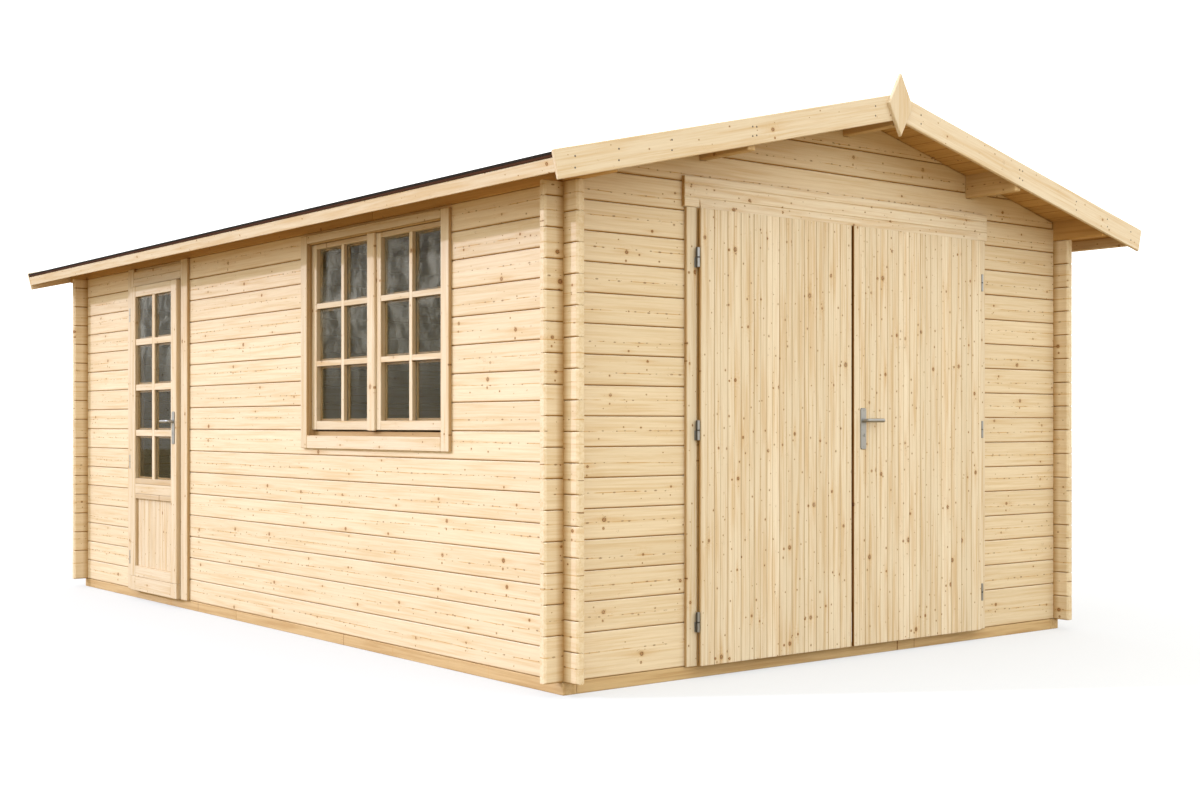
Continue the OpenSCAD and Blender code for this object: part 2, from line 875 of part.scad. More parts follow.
// One sash between x0 and x1: its two stiles, its two rails or its glass
module sash_part(kind, x0, x1) {
    y0 = sash_set;
    y1 = sash_set + sash_t;
    glass_y = y0 + sash_glass_in;
    z0 = sash_low + sash_foot;
    z1 = sash_high - sash_head;
    difference() {
        if (kind == "stiles") {
            block([x0, y0, sash_low], [x0 + sash_w, y1, sash_high]);
            block([x1 - sash_w, y0, sash_low], [x1, y1, sash_high]);
        } else if (kind == "rails") {
            block([x0 + sash_w, y0, sash_low], [x1 - sash_w, y1, z0]);
            block([x0 + sash_w, y0, z1], [x1 - sash_w, y1, sash_high]);
        } else {
            block([x0 + sash_w - rebate, glass_y, z0 - rebate],
                [x1 - sash_w + rebate, glass_y + glass_t, z1 + rebate]);
        }
        if (kind != "glass")
            block([x0 + sash_w - rebate, glass_y, z0 - rebate],
                [x1 - sash_w + rebate, glass_y + glass_t, z1 + rebate]);
    }
}

module both_sashes(kind) {
    sash_part(kind, -sash_out, -sash_gap / 2);
    sash_part(kind, sash_gap / 2, sash_out);
}

module sash_stiles() {
    color(wood_soft) at_window() both_sashes("stiles");
}

module sash_rails() {
    color(wood_soft) at_window() both_sashes("rails");
}

module window_glass() {
    color(glass_c) at_window() both_sashes("glass");
}

foundation_side_beams();
foundation_cross_beams();
front_wall_left();
front_wall_right();
front_gable();
back_wall();
right_wall();
left_wall_front();
left_wall_middle();
left_wall_rear();
left_wall_under_window();
left_wall_top();
eave_logs();
purlins();
roof_boards_left();
roof_boards_right();
roof_felt();
eave_fascias();
front_bargeboards();
back_bargeboards();
gable_diamonds();
double_door_jambs();
double_door_head();
double_door_trims();
double_door_header();
side_door_jambs();
side_door_head();
side_door_trims();
side_door_head_board();
hinge_pins();
left_leaf_boards();
left_leaf_rails();
left_leaf_hinges();
right_leaf_boards();
right_leaf_rails();
right_leaf_hinges();
right_leaf_handle_plate();
right_leaf_lever();
side_door_stiles();
side_door_rails();
side_door_glass();
side_door_panel();
side_door_hinges();
side_door_handle_plate();
side_door_lever();
window_side_trims();
window_cross_trims();
window_frame_stiles();
window_frame_rails();
sash_stiles();
sash_rails();
window_glass();
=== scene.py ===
"""Looks of the log garage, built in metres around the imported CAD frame.

+X runs right along the front gable, +Y to the back, +Z up. Every timber is a closed mesh of
its own inside its piece, and carries its grain coordinates for the procedural wood.
"""

import random
from math import copysign, cos, hypot, pi, radians, sin, tan

import bmesh
import bpy
from mathutils import Matrix, Vector


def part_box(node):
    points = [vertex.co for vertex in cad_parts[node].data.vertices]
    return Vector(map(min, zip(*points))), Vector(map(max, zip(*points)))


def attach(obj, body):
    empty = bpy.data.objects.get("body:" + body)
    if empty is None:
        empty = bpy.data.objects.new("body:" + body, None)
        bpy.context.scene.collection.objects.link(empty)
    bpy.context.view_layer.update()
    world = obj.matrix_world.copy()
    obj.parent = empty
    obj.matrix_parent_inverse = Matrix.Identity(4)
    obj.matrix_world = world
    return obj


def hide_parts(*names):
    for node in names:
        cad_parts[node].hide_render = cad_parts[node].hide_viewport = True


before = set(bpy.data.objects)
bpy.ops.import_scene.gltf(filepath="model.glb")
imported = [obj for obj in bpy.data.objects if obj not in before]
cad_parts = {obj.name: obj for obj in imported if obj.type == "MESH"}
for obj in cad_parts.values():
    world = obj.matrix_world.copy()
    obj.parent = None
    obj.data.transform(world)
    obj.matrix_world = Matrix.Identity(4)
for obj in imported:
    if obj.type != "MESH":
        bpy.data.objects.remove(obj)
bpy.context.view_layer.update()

# --- sizes taken from the frame ---


class Box:
    """The box of one or more CAD nodes at rest, with its middle and half length along Y."""

    def __init__(self, *nodes):
        lows, highs = zip(*(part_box(n) for n in nodes))
        self.x0, self.y0, self.z0 = (min(low[i] for low in lows) for i in range(3))
        self.x1, self.y1, self.z1 = (max(high[i] for high in highs) for i in range(3))
        self.middle = (self.y0 + self.y1) / 2
        self.half = (self.y1 - self.y0) / 2


beams = Box("foundation_side_beams")
HALF_W, HALF_L, BASE = beams.x1, beams.y1, beams.z1
WALL_TOP = Box("left_wall_top").z1
LOG_T = Box("left_wall_middle").x1 - Box("left_wall_middle").x0
STUB = Box("right_wall").y1 - HALF_L
COURSES = 16
COURSE = (WALL_TOP - BASE) / COURSES
SIDES = (-1, 1)
SEAT = 0.0005

PITCH = radians(13.5)
COS, SIN, TAN = cos(PITCH), sin(PITCH), tan(PITCH)
ROOF_T, FELT_T = 0.019, 0.003
ROOF_HALF = Box("roof_felt").y1
RIDGE_Z = Box("roof_boards_left").z1 - ROOF_T / COS
ROOF_RUN = (Box("roof_boards_right").x1 - ROOF_T * SIN) / COS
PURLIN_X, PURLIN_W, PURLIN_H, RIDGE_PURLIN_H = 0.93, 0.044, 0.112, 0.12
FASCIA_H, FASCIA_T = 0.057, 0.02
BARGE_H, BARGE_T, BARGE_TOP = 0.118, 0.018, 0.0295


def roof_under(x):
    """Height of the roof boards' underside at x."""
    return RIDGE_Z - abs(x) * TAN


# --- timber meshes ---


class Place:
    """Where a timber lies: its origin, and the directions of its grain and of its width."""

    def __init__(self, origin, along, across):
        a, c = Vector(along).normalized(), Vector(across).normalized()
        self.origin = Vector(origin)
        self.matrix = Matrix((a, c, a.cross(c))).transposed().to_4x4()
        self.matrix.translation = self.origin


def chamfered(width, thick, bevel, deep=0):
    """A ring of (across, through, shade) points with chamfered corners, and painted shade deep on
    the narrow sides.
    """
    w, t = width / 2, thick / 2
    b = min(bevel, 0.45 * width, 0.45 * thick)
    edge = 0.7 * deep
    return [(w - b, t), (-w + b, t), (-w, t - b, edge), (-w, 0, deep), (-w, -t + b, edge),
            (-w + b, -t), (w - b, -t), (w, -t + b, edge), (w, 0, deep), (w, t - b, edge)]


def open_air(ring):
    """A ring without its shades, for an end face."""
    return [(y, z) for y, z, *shade in ring]


def skin(rings, n):
    """Faces that join rings of n points and close both ends."""
    faces = [[r * n + i, r * n + (i + 1) % n, (r + 1) * n + (i + 1) % n, (r + 1) * n + i]
             for r in range(rings - 1) for i in range(n)]
    return faces + [list(range(n))[::-1], [(rings - 1) * n + i for i in range(n)]]


def turn_outwards(mesh):
    """Turns every face of the closed shapes outwards."""
    bm = bmesh.new()
    bm.from_mesh(mesh)
    bmesh.ops.recalc_face_normals(bm, faces=bm.faces)
    bm.to_mesh(mesh)
    bm.free()


class Timber:
    """Closed shapes gathered into one mesh, each with its own grain coordinates and tone."""

    def __init__(self, seed):
        self.rng = random.Random(seed)
        self.verts, self.faces = [], []
        self.grain, self.tones, self.shades = [], [], []

    def add(self, place, points, faces, centre=(0, 0), turned=False):
        """Adds one closed shape, given in the place's own (along, across, through, shade).

        Shade may be left out: it is painted light and shade, 0 none, 1 painted shade deep in a
        joint,
        2 darker painted shade in an open gap, and -1 a painted highlight on an edge that catches
        the light. Turned lays the grain across the place."""
        first = len(self.verts)
        shift = self.rng.uniform(0, 60)
        tone = self.rng.random()
        for x, y, z, *shade in points:
            self.verts.append(place.matrix @ Vector((x, y, z)))
            self.shades.append(shade[0] if shade else 0)
            y, z = y - centre[0], z - centre[1]
            self.grain.append((y + shift, x, z) if turned else (x + shift, y, z))
            self.tones.append(tone)
        self.faces += [[first + i for i in f] for f in faces]

    def loft(self, place, rings, centre=(0, 0), turned=False):
        """Joins rings, each (along, its points), and closes both ends."""
        points = [(x, *point) for x, ring in rings for point in ring]
        self.add(place, points, skin(len(rings), len(rings[0][1])), centre, turned)

    def bar(self, place, x0, x1, width, thick, bevel=0.002, mitre=0, deep=0):
        """A chamfered board on the place's axis. Mitre slants its first end, and deep is the
        painted shade on its narrow sides."""
        end = min(bevel, 0.2 * (x1 - x0))
        full = chamfered(width, thick, bevel, deep)
        small = open_air(chamfered(width - 2 * end, thick - 2 * end, bevel))
        points = []
        for x, ring, slope in ((x0, small, mitre), (x0 + end, full, mitre),
                               (x1 - end, full, 0), (x1, small, 0)):
            points += [(x + slope * point[0], *point) for point in ring]
        self.add(place, points, skin(4, len(full)))

    def box(self, x0, x1, y0, y1, z0, z1, along, bevel=0.002, deep=0):
        """A chamfered board in the frame's axes, its x and y limits in either order."""
        low = Vector((min(x0, x1), min(y0, y1), z0))
        high = Vector((max(x0, x1), max(y0, y1), z1))
        size, middle = high - low, (low + high) / 2
        a = "xyz".index(along)
        c, t = sorted((i for i in range(3) if i != a), key=lambda i: -size[i])
        axes = Matrix.Identity(3)
        self.bar(Place(middle, axes[a], axes[c]), -size[a] / 2, size[a] / 2, size[c], size[t],
                 bevel, deep=deep)

    def prism(self, place, x0, x1, outline, end=0.002, cap=0):
        """Extrudes an outline along the place and chamfers its ends. Cap is painted shade on the
        end faces.
        """
        cy = sum(point[0] for point in outline) / len(outline)
        cz = sum(point[1] for point in outline) / len(outline)
        small = [(y - copysign(min(end, abs(y - cy)), y - cy),
                  z - copysign(min(end, abs(z - cz)), z - cz), cap) for y, z in outline]
        rings = [(x0, small), (x0 + end, outline), (x1 - end, outline), (x1, small)]
        self.loft(place, rings, (cy, cz))

    def object(self, name, paint, *nodes, body="building"):
        """Makes the piece that rides on a body in place of CAD nodes. Paint is (material, slot);
        its slot is not used.
        """
        material, slot = paint
        mesh = bpy.data.meshes.new(name)
        mesh.from_pydata(self.verts, [], self.faces)
        grain = mesh.attributes.new("grain", "FLOAT_VECTOR", "POINT")
        grain.data.foreach_set("vector", [v for g in self.grain for v in g])
        for layer, values in (("tone", self.tones), ("shade", self.shades)):
            mesh.attributes.new(layer, "FLOAT", "POINT").data.foreach_set("value", values)
        mesh.validate()
        turn_outwards(mesh)
        mesh.materials.append(material)
        piece = bpy.data.objects.new(name, mesh)
        bpy.context.scene.collection.objects.link(piece)
        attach(piece, body)
        if nodes:
            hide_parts(*nodes)


# --- procedural materials ---


def arithmetic(operation):
    """A method of Graph for one operation of the Math node."""
    return lambda graph, *values: graph.math(operation, *values)


class Graph:
    """Short calls for a new material's nodes. A value is a number, a colour or an output."""

    def __init__(self, name):
        self.material = bpy.data.materials.new(name)
        self.material.use_nodes = True
        self.tree = self.material.node_tree
        self.shader = self.tree.nodes["Principled BSDF"]

    def node(self, kind, **settings):
        made = self.tree.nodes.new("ShaderNode" + kind)
        for key, value in settings.items():
            setattr(made, key, value)
        return made

    def set(self, socket, value):
        if isinstance(value, bpy.types.NodeSocket):
            self.tree.links.new(value, socket)
        else:
            socket.default_value = value

    def feed(self, made, *values, **named):
        """Gives a node's first inputs and its named ones their values. Returns its output."""
        for socket, value in zip(made.inputs, values):
            self.set(socket, value)
        for name, value in named.items():
            self.set(made.inputs[name], value)
        return made.outputs[0]

    def surface(self, name, value):
        self.set(self.shader.inputs[name], value)

    def math(self, operation, a, b=0, c=0, clamp=False):
        return self.feed(self.node("Math", operation=operation, use_clamp=clamp), a, b, c)

    plus, minus, times = arithmetic("ADD"), arithmetic("SUBTRACT"), arithmetic("MULTIPLY")
    times_plus, power = arithmetic("MULTIPLY_ADD"), arithmetic("POWER")

    def length(self, a, b):
        return self.math("SQRT", self.plus(self.times(a, a), self.times(b, b)))

    def vector(self, x, y, z):
        return self.feed(self.node("CombineXYZ"), x, y, z)

    def split(self, vector):
        made = self.node("SeparateXYZ")
        self.feed(made, vector)
        return made.outputs

    def attribute(self, name, output="Fac"):
        return self.node("Attribute", attribute_name=name).outputs[output]

    def where(self):
        return self.node("TexCoord").outputs["Object"]

    def noise(self, vector, scale=1, detail=3, roughness=0.5):
        return self.feed(self.node("TexNoise"), Vector=vector, Scale=scale, Detail=detail,
                         Roughness=roughness)

    def fade(self, value, low, high, to_low=0, to_high=1):
        """Value from low to high, mapped smoothly to to_low and to_high."""
        made = self.node("MapRange", interpolation_type="SMOOTHSTEP")
        return self.feed(made, value, low, high, to_low, to_high)

    def mix(self, factor, a, b, blend="MIX"):
        made = self.node("Mix", data_type="RGBA", blend_type=blend)
        self.set(made.inputs[0], factor)
        for socket, value in ((made.inputs[6], a), (made.inputs[7], b)):
            self.set(socket, value if isinstance(value, bpy.types.NodeSocket) else (*value, 1))
        return made.outputs[2]

    def bump(self, height, strength, distance):
        self.surface("Normal", self.feed(self.node("Bump"), Strength=strength,
                                         Distance=distance, Height=height))


def knots(g, x, y, tone, spacing, spread, small, large, share, seed, stretch=1.6):
    """Knots in a row along the grain, one chance in each cell. Returns (distance, radius, here)."""
    cell = g.math("DIVIDE", x, spacing)
    white = g.node("TexWhiteNoise", noise_dimensions="2D")
    g.set(white.inputs["Vector"],
          g.vector(g.math("FLOOR", cell), g.times_plus(tone, 97, seed), 0))
    place, side, size = g.split(white.outputs["Color"])
    centre = g.times_plus(place, 0.6, 0.2)
    dx = g.times(g.minus(g.math("FRACT", cell), centre), spacing / stretch)
    dy = g.minus(y, g.times(g.minus(side, 0.5), spread))
    radius = g.times_plus(g.power(size, 2), large - small, small)
    return g.length(dx, dy), radius, g.math("LESS_THAN", white.outputs["Value"], share)


def stain_and_painted_shade(g, colour, found, paint, inner, outer, amount):
    """Paints knots, full to inner radii from their middle and fading out at outer radii."""
    distance, radius, here = found
    inside = g.fade(distance, g.times(radius, outer), g.times(radius, inner), 0, amount)
    return g.mix(g.times(inside, here), colour, paint)


OPEN = (1, 1, 1)
AMBER = (0.52, 0.3, 0.105)
KNOT = (0.36, 0.175, 0.055)
RIM = (0.17, 0.072, 0.022)
PIN = (0.17, 0.075, 0.022)
# painted shade for joints, gaps, reveals and edges, and a painted highlight for edges that catch
# the light
PAINTED_JOINT_SHADE = (0.5, 0.305, 0.05)
PAINTED_GAP_SHADE = (0.3, 0.15, 0.045)
PAINTED_HIGHLIGHT = (0.86, 0.73, 0.54)
YEAR = 0.0055


def spruce(name, pale, late, tint=0.05, contrast=1, rough=0.55, pith=0, branches=0.5,
           pins=0.5, pin_step=0.115, slot=None):
    """Planed spruce: growth rings, streaks, a pith line, pin knots and whorls of branch knots, with
    painted shade and painted highlights from the shade attribute.
    """
    g = Graph(name)
    x, y, z = g.split(g.attribute("grain", "Vector"))
    tone, shade = g.attribute("tone"), g.attribute("shade")

    def grain_noise(along, across, detail=3, roughness=0.5):
        scaled = g.vector(g.times(x, along), g.times(y, across), g.times(z, across))
        return g.noise(scaled, 1, detail, roughness)

    # whorls: knots one above another, which push the growth rings aside
    whorl = (tone, 0.47, 0.1, 0.0044, 0.01, branches, 3)
    knot = knots(g, x, y, *whorl, 1.15)
    distance, size, here = knots(g, g.plus(x, 0.004), g.plus(y, 0.037), *whorl, 1)
    twin = (distance, g.times(size, 0.6), here)
    flame = knots(g, x, y, *whorl, 7)
    swell = g.times(g.fade(knot[0], 0.045, 0, 0, 0.016), knot[2])

    # growth rings round a pith that wanders behind the face, then streaks and clouds
    wander = grain_noise(0.9, 5)
    middle = g.times_plus(g.minus(wander, 0.5), 0.022, g.times(g.minus(tone, 0.5), 0.03))
    off_pith = g.minus(y, middle)
    radius = g.times_plus(wander, 0.034, g.length(off_pith, g.plus(z, 0.055)))
    wave = g.math("SINE", g.times(g.plus(radius, swell), 2 * pi / YEAR))
    rings = g.power(g.times_plus(wave, 0.5, 0.5), 2.2)
    streak = grain_noise(1.9, 105, 4, 0.6)
    cloud = grain_noise(2.2, 40)
    fibre = grain_noise(22, 700, 2)

    soft = g.fade(cloud, 0.35, 0.65, 0.04, 0.2 * contrast)
    colour = g.mix(g.times(rings, soft), pale, late)
    colour = g.mix(g.fade(streak, 0.46, 0.74, 0, 0.44 * contrast), colour, late)
    colour = g.mix(g.fade(cloud, 0.45, 0.72, 0, 0.46 * contrast), colour, late)
    light = g.times_plus(g.minus(tone, 0.5), 2 * tint, 1)
    light = g.times(light, g.fade(fibre, 0.2, 0.8, 0.97, 1.03))
    light = g.times(light, g.fade(streak, 0.25, 0.5, 1.06, 1))
    light = g.vector(light, g.power(light, 1.15), g.power(light, 1.5))
    colour = g.mix(1, colour, light, "MULTIPLY")

    if pith:
        broken = g.noise(g.vector(g.times(x, 7), tone, 0), 1, 2)
        line = g.fade(g.math("ABSOLUTE", off_pith), 0.0032, 0.0006)
        colour = g.mix(g.times(line, g.fade(broken, 0.42, 0.6, 0, pith)), colour, AMBER)
        dash = knots(g, x, off_pith, tone, 0.062, 0.004, 0.0016, 0.0036, 0.78, 5, 2.4)
        colour = stain_and_painted_shade(g, colour, dash, PIN, 0.7, 1.4, 0.75)

    # amber, rim and heart of the branch knots, then the pins
    colour = stain_and_painted_shade(g, colour, flame, AMBER, 0.2, 2.2, 0.35)
    for found in (knot, twin):
        colour = stain_and_painted_shade(g, colour, found, AMBER, 0.9, 2, 0.6)
        colour = stain_and_painted_shade(g, colour, found, RIM, 0.9, 1.15, 0.95)
        colour = stain_and_painted_shade(g, colour, found, KNOT, 0.3, 0.9, 0.8)
    pin = knots(g, x, y, tone, pin_step, 0.085, 0.0017, 0.0042, pins, 11, 1.3)
    colour = stain_and_painted_shade(g, colour, pin, AMBER, 0.9, 2.4, 0.38)
    colour = stain_and_painted_shade(g, colour, pin, PIN, 0.7, 1.15, 0.93)

    # painted highlight on edges that catch the light, painted shade in joints and darker painted
    # shade in gaps
    colour = g.mix(g.math("MULTIPLY", shade, -1, clamp=True), colour, PAINTED_HIGHLIGHT)
    deep = g.mix(shade, OPEN, PAINTED_JOINT_SHADE)
    deep = g.mix(g.math("SUBTRACT", shade, 1, clamp=True), deep, PAINTED_GAP_SHADE)
    g.surface("Base Color", g.mix(1, colour, deep, "MULTIPLY"))
    g.surface("Roughness", g.fade(streak, 0.2, 0.8, rough - 0.06, rough + 0.1))
    g.surface("Specular IOR Level", 0.25)
    g.bump(g.plus(g.times(rings, 0.5), g.times(fibre, 0.5)), 0.25, 0.0006)
    return g.material, slot or name


def felt_material():
    """Near-black bitumen felt with mineral grit."""
    g = Graph("bitumen_felt")
    where = g.where()
    grit = g.noise(where, 900, 2, 0.7)
    patch = g.noise(where, 2.2, 4)
    dust = g.noise(where, 38)
    colour = g.mix(g.fade(grit, 0.45, 0.72), (0.013, 0.009, 0.007), (0.05, 0.038, 0.031))
    colour = g.mix(g.fade(patch, 0.35, 0.75, 0, 0.5), colour, (0.026, 0.02, 0.016))
    colour = g.mix(g.fade(dust, 0.55, 0.8, 0, 0.25), colour, (0.07, 0.055, 0.043))
    g.surface("Base Color", g.mix(g.attribute("shade"), colour, (0.062, 0.024, 0.011)))
    g.surface("Specular IOR Level", 0.08)
    g.surface("Roughness", g.fade(grit, 0.3, 0.7, 0.98, 0.82))
    g.bump(grit, 0.7, 0.0012)
    return g.material, "bitumen_felt"


def glass_material():
    """Thin window glass: half clear, its opaque part a dark olive as painted shade of the room
    behind, with a painted grey reflection that thickens upwards.
    """
    g = Graph("clear_glass")
    x, y, height = g.split(g.where())
    cloud = g.noise(g.vector(x, y, g.times(height, 0.8)), 9, 8, 0.7)
    # painted reflection of sky and trees, stronger higher up; it also makes the glass more opaque
    # and rougher
    painted_reflection = g.times(g.fade(cloud, 0.32, 0.68), g.fade(height, 1.15, 1.85, 0.15, 1))
    g.surface("Base Color", g.mix(painted_reflection, (0.08, 0.066, 0.026), (0.235, 0.222, 0.172)))
    g.surface("IOR", 1.52)
    g.surface("Roughness", g.fade(painted_reflection, 0, 1, 0.015, 0.08))
    g.surface("Alpha", g.fade(painted_reflection, 0, 1, 0.17, 0.46))
    g.surface("Specular IOR Level", 0.35)
    g.material.surface_render_method = "BLENDED"
    return g.material, "clear_glass"


def steel_material():
    """Brushed, slightly handled stainless steel, with painted shade and a dark painted reflection
    on its edges, sides and joints.
    """
    g = Graph("satin_steel")
    where = g.where()
    x, y, z = g.split(where)
    brushed = g.noise(g.vector(g.times(x, 2600), g.times(y, 2600), g.times(z, 90)), 1, 2)
    smear = g.noise(where, 60)
    colour = g.mix(brushed, (0.29, 0.283, 0.27), (0.43, 0.418, 0.4))
    colour = g.mix(g.fade(smear, 0.5, 0.8, 0, 0.35), colour, (0.24, 0.25, 0.26))
    # painted shade and dark painted reflection where the shade attribute is high
    painted_shade_and_reflection = g.math("MULTIPLY", g.attribute("shade"), 0.95, clamp=True)
    g.surface("Base Color", g.mix(painted_shade_and_reflection, colour, (0.03, 0.027, 0.024)))
    g.surface("Metallic", 1)
    g.surface("Roughness", g.fade(brushed, 0.2, 0.8, 0.3, 0.45))
    g.bump(brushed, 0.12, 0.0002)
    return g.material, "satin_steel"


def dark_metal_material():
    """The dark steel of nail heads, and dark bars as painted shade inside screw slots and keyholes.
    """
    g = Graph("dark_metal")
    spot = g.noise(g.where(), 700, 2)
    g.surface("Base Color", g.mix(spot, (0.05, 0.045, 0.04), (0.16, 0.14, 0.12)))
    g.surface("Metallic", 0.9)
    g.surface("Roughness", g.fade(spot, 0.2, 0.8, 0.4, 0.6))
    return g.material, "satin_steel"


LOGS = spruce("log_spruce", (0.69, 0.55, 0.365), (0.555, 0.37, 0.17), 0.04, 0.85, 0.55,
              0.9, 0.65, 0.6)
PLANED = spruce("planed_spruce", (0.645, 0.52, 0.36), (0.53, 0.345, 0.155), 0.05, 1.1, 0.5,
                0, 0.55, 0.8)
CLADDING = spruce("cladding_spruce", (0.695, 0.575, 0.412), (0.54, 0.345, 0.155), 0.06, 1.1,
                  0.5, 0, 0.8, 0.9, 0.07, "planed_spruce")
# frame and beam spruce are darker partly as their own wood and partly as painted shade in reveals,
# under the walls and under the roof
FRAMES = spruce("frame_spruce", (0.52, 0.33, 0.145), (0.4, 0.22, 0.08))
BEAMS = spruce("beam_spruce", (0.545, 0.37, 0.18), (0.4, 0.23, 0.085), 0.05, 1.3, 0.65, 0.4)
# soffit spruce is a darker copy of the spruce as painted shade under the eaves
SOFFIT_PAINTED_SHADE = spruce("soffit_spruce", (0.525, 0.305, 0.105), (0.4, 0.205, 0.055), 0.06, 1, 0.6)
FELT = felt_material()
GLASS = glass_material()
STEEL = steel_material()
DARK = dark_metal_material()


# --- foundation ---


def foundation():
    """Sawn beams under the walls, each run in two lengths that butt in the middle."""
    t = Timber(11)
    cross = Box("foundation_cross_beams")
    width = cross.x0 - beams.x0
    joint, bevel = 0.0006, 0.0025
    for side in SIDES:
        outer, inner = side * HALF_W, side * (HALF_W - width)
        middle = -0.35 * side
        t.box(outer, inner, -HALF_L, middle - joint, 0, BASE, "y", bevel)
        t.box(outer, inner, middle + joint, HALF_L, 0, BASE, "y", bevel)
        t.box(cross.x0 + joint, cross.x1 - joint, side * HALF_L, side * (HALF_L - width),
              0, BASE, "x", bevel)
    t.object("foundation_beams", BEAMS, "foundation_side_beams", "foundation_cross_beams")


# --- log walls ---

LOG_BEVEL, LOG_GAP = 0.0047, 0.0008
TONGUE, NO_TONGUE = 0.008, 0.0005
END_CHAMFER, CUT_CHAMFER = 0.009, 0.001
STEP = 0.0006
THINNEST = 0.006
# painted shade where the logs leave a corner, and how far from the corner it fades
PAINTED_CORNER_SHADE, PAINTED_CORNER_REACH = 0.75, 0.04


def log_ring(low, high, thin=0, tongue=TONGUE, stain_and_painted_shade=0):
    """Ring of a log: bevelled edges, tongue above, groove below. The last argument is its least
    painted shade, which darkens the logs where they leave a corner.
    """
    def mirrored(points):
        return [(y, -z, shade) for y, z, shade in reversed(points)]

    half = LOG_T / 2 - thin
    b = min(LOG_BEVEL, 0.3 * (high - low))
    g = LOG_GAP
    h = LOG_T / 2 - LOG_BEVEL - 0.006 - thin
    roof = low + g + (tongue + 0.002 if high - low > 3 * tongue else 0.0005)
    # painted shade runs down into the joint below, a painted highlight lies on the upper bevel, and
    # the tongue and groove carry painted shade
    outer = [(low + g, half - b, 1.2), (low + b, half, 0.45), (low + 2.2 * b, half, 0),
             (high - b, half, 0), (high - g, half - b, -1), (high - g, h, 1),
             (high + tongue, h - 0.001, 1)]
    groove = [(roof, h + 0.001, 1), (low + g, h + 0.001, 1)]
    ring = outer + mirrored(outer) + mirrored(groove) + groove
    return [(y, z, max(shade, stain_and_painted_shade) if stain_and_painted_shade else shade) for y, z, shade in ring]


class Wall:
    """Lays the courses of a wall. One with slots for purlins is a gable, under the roof."""

    def __init__(self, seed, origin, along, half, openings=(), slots=()):
        self.timber = Timber(seed)
        self.place = Place(origin, along, (0, 0, 1))
        self.reach = half + STUB
        self.necks = [(-half, -half + LOG_T), (half - LOG_T, half)]
        self.openings = list(openings)
        self.slots = list(slots)

    def limits(self, x, low, high):
        """The log's lower and upper edge at x, and the tongue that fits there."""
        tongue = TONGUE
        for x0, x1, z0, z1 in self.openings:
            if x0 < x < x1 and z0 < high and z1 > low:
                if z0 > low:
                    high, tongue = z0, NO_TONGUE
                elif z1 < high:
                    low = z1
                else:
                    return low, low, NO_TONGUE
        for x0, x1 in self.necks:
            if x0 < x < x1:
                neck = high - 0.75 * COURSE
                return neck + STEP, neck + COURSE / 2 - STEP, NO_TONGUE
        if self.slots:
            if abs(x) > HALF_W - LOG_T and high > WALL_TOP:
                high, tongue = WALL_TOP - STEP, NO_TONGUE
            tops = [roof_under(x)] + [z for x0, x1, z in self.slots if x0 < x < x1]
            if min(tops) < high:
                high, tongue = min(tops) - SEAT, NO_TONGUE
        return low, high, tongue

    def breaks(self, low, high):
        """Places along the wall where the limits of a course change."""
        places = [-self.reach, self.reach]
        for x0, x1, *_ in self.openings + self.necks + self.slots:
            places += [x0, x1]
        # breaks where the painted shade at the corners fades out
        if self.necks:
            root = self.necks[1][1] + PAINTED_CORNER_REACH
            places += [-root, root]
        if self.slots:
            places.append(0)
            for z in (low + THINNEST + SEAT, high, high + 0.1 * COURSE):
                run = (RIDGE_Z - z) / TAN
                places += [-run, run] if run > 0 else []
        return sorted(p for p in set(places) if -self.reach <= p <= self.reach)

    def stain_and_painted_shade(self, x):
        """How much painted shade darkens a log at x: only where it leaves a corner."""
        if not self.necks:
            return 0
        edge = self.necks[1][1]
        return PAINTED_CORNER_SHADE if edge - LOG_T < abs(x) < edge + 2 * STEP else 0

    def course(self, low, high):
        """Lofts the log or logs of one course."""
        rings = []
        places = self.breaks(low, high)
        for x0, x1 in zip(places, places[1:]):
            if x1 - x0 < 4 * STEP:
                continue
            ends = [self.limits(x, low, high) for x in (x0 + 1e-5, x1 - 1e-5)]
            if max(top - foot for foot, top, tongue in ends) < THINNEST:
                self.finish(rings)
                rings = []
                continue
            for x, (foot, top, tongue) in zip((x0 + STEP, x1 - STEP), ends):
                rings.append((x, foot, max(top, foot + THINNEST / 2), tongue, self.stain_and_painted_shade(x)))
        self.finish(rings)

    def finish(self, rings):
        """Closes a log with chamfered ends."""
        if not rings:
            return
        full = [(x, log_ring(low, high, 0, *rest)) for x, low, high, *rest in rings]
        caps = []
        for i, inward in ((0, 1), (-1, -1)):
            x, low, high, *_ = rings[i]
            end = END_CHAMFER if abs(x) > self.reach - 2 * STEP else CUT_CHAMFER
            full[i] = (x + inward * end, full[i][1])
            caps.append((x, open_air(log_ring(low, high, end, NO_TONGUE))))
        middle = (rings[0][1] + rings[0][2]) / 2
        self.timber.loft(self.place, caps[:1] + full + caps[1:], (middle, 0))


PURLINS = ((-PURLIN_X, roof_under(PURLIN_X) - PURLIN_H), (0, RIDGE_Z - RIDGE_PURLIN_H),
           (PURLIN_X, roof_under(PURLIN_X) - PURLIN_H))


def side_walls():
    """The left wall with its door and window, and the plain right wall."""
    door = Box("side_door_head", "side_door_jambs")
    window = Box("window_frame_stiles")
    holes = [(-door.y1, -door.y0, 0, door.z1), (-window.y1, -window.y0, window.z0, window.z1)]
    axis = HALF_W - LOG_T / 2
    left = Wall(21, (-axis, 0, 0), (0, -1, 0), HALF_L, holes)
    right = Wall(22, (axis, 0, 0), (0, 1, 0), HALF_L)
    for wall in (left, right):
        for k in range(COURSES):
            wall.course(BASE + k * COURSE, BASE + (k + 1) * COURSE)
    left.timber.object("left_wall_logs", LOGS, "left_wall_front", "left_wall_middle",
                       "left_wall_rear", "left_wall_under_window", "left_wall_top")
    right.timber.object("right_wall_logs", LOGS, "right_wall")


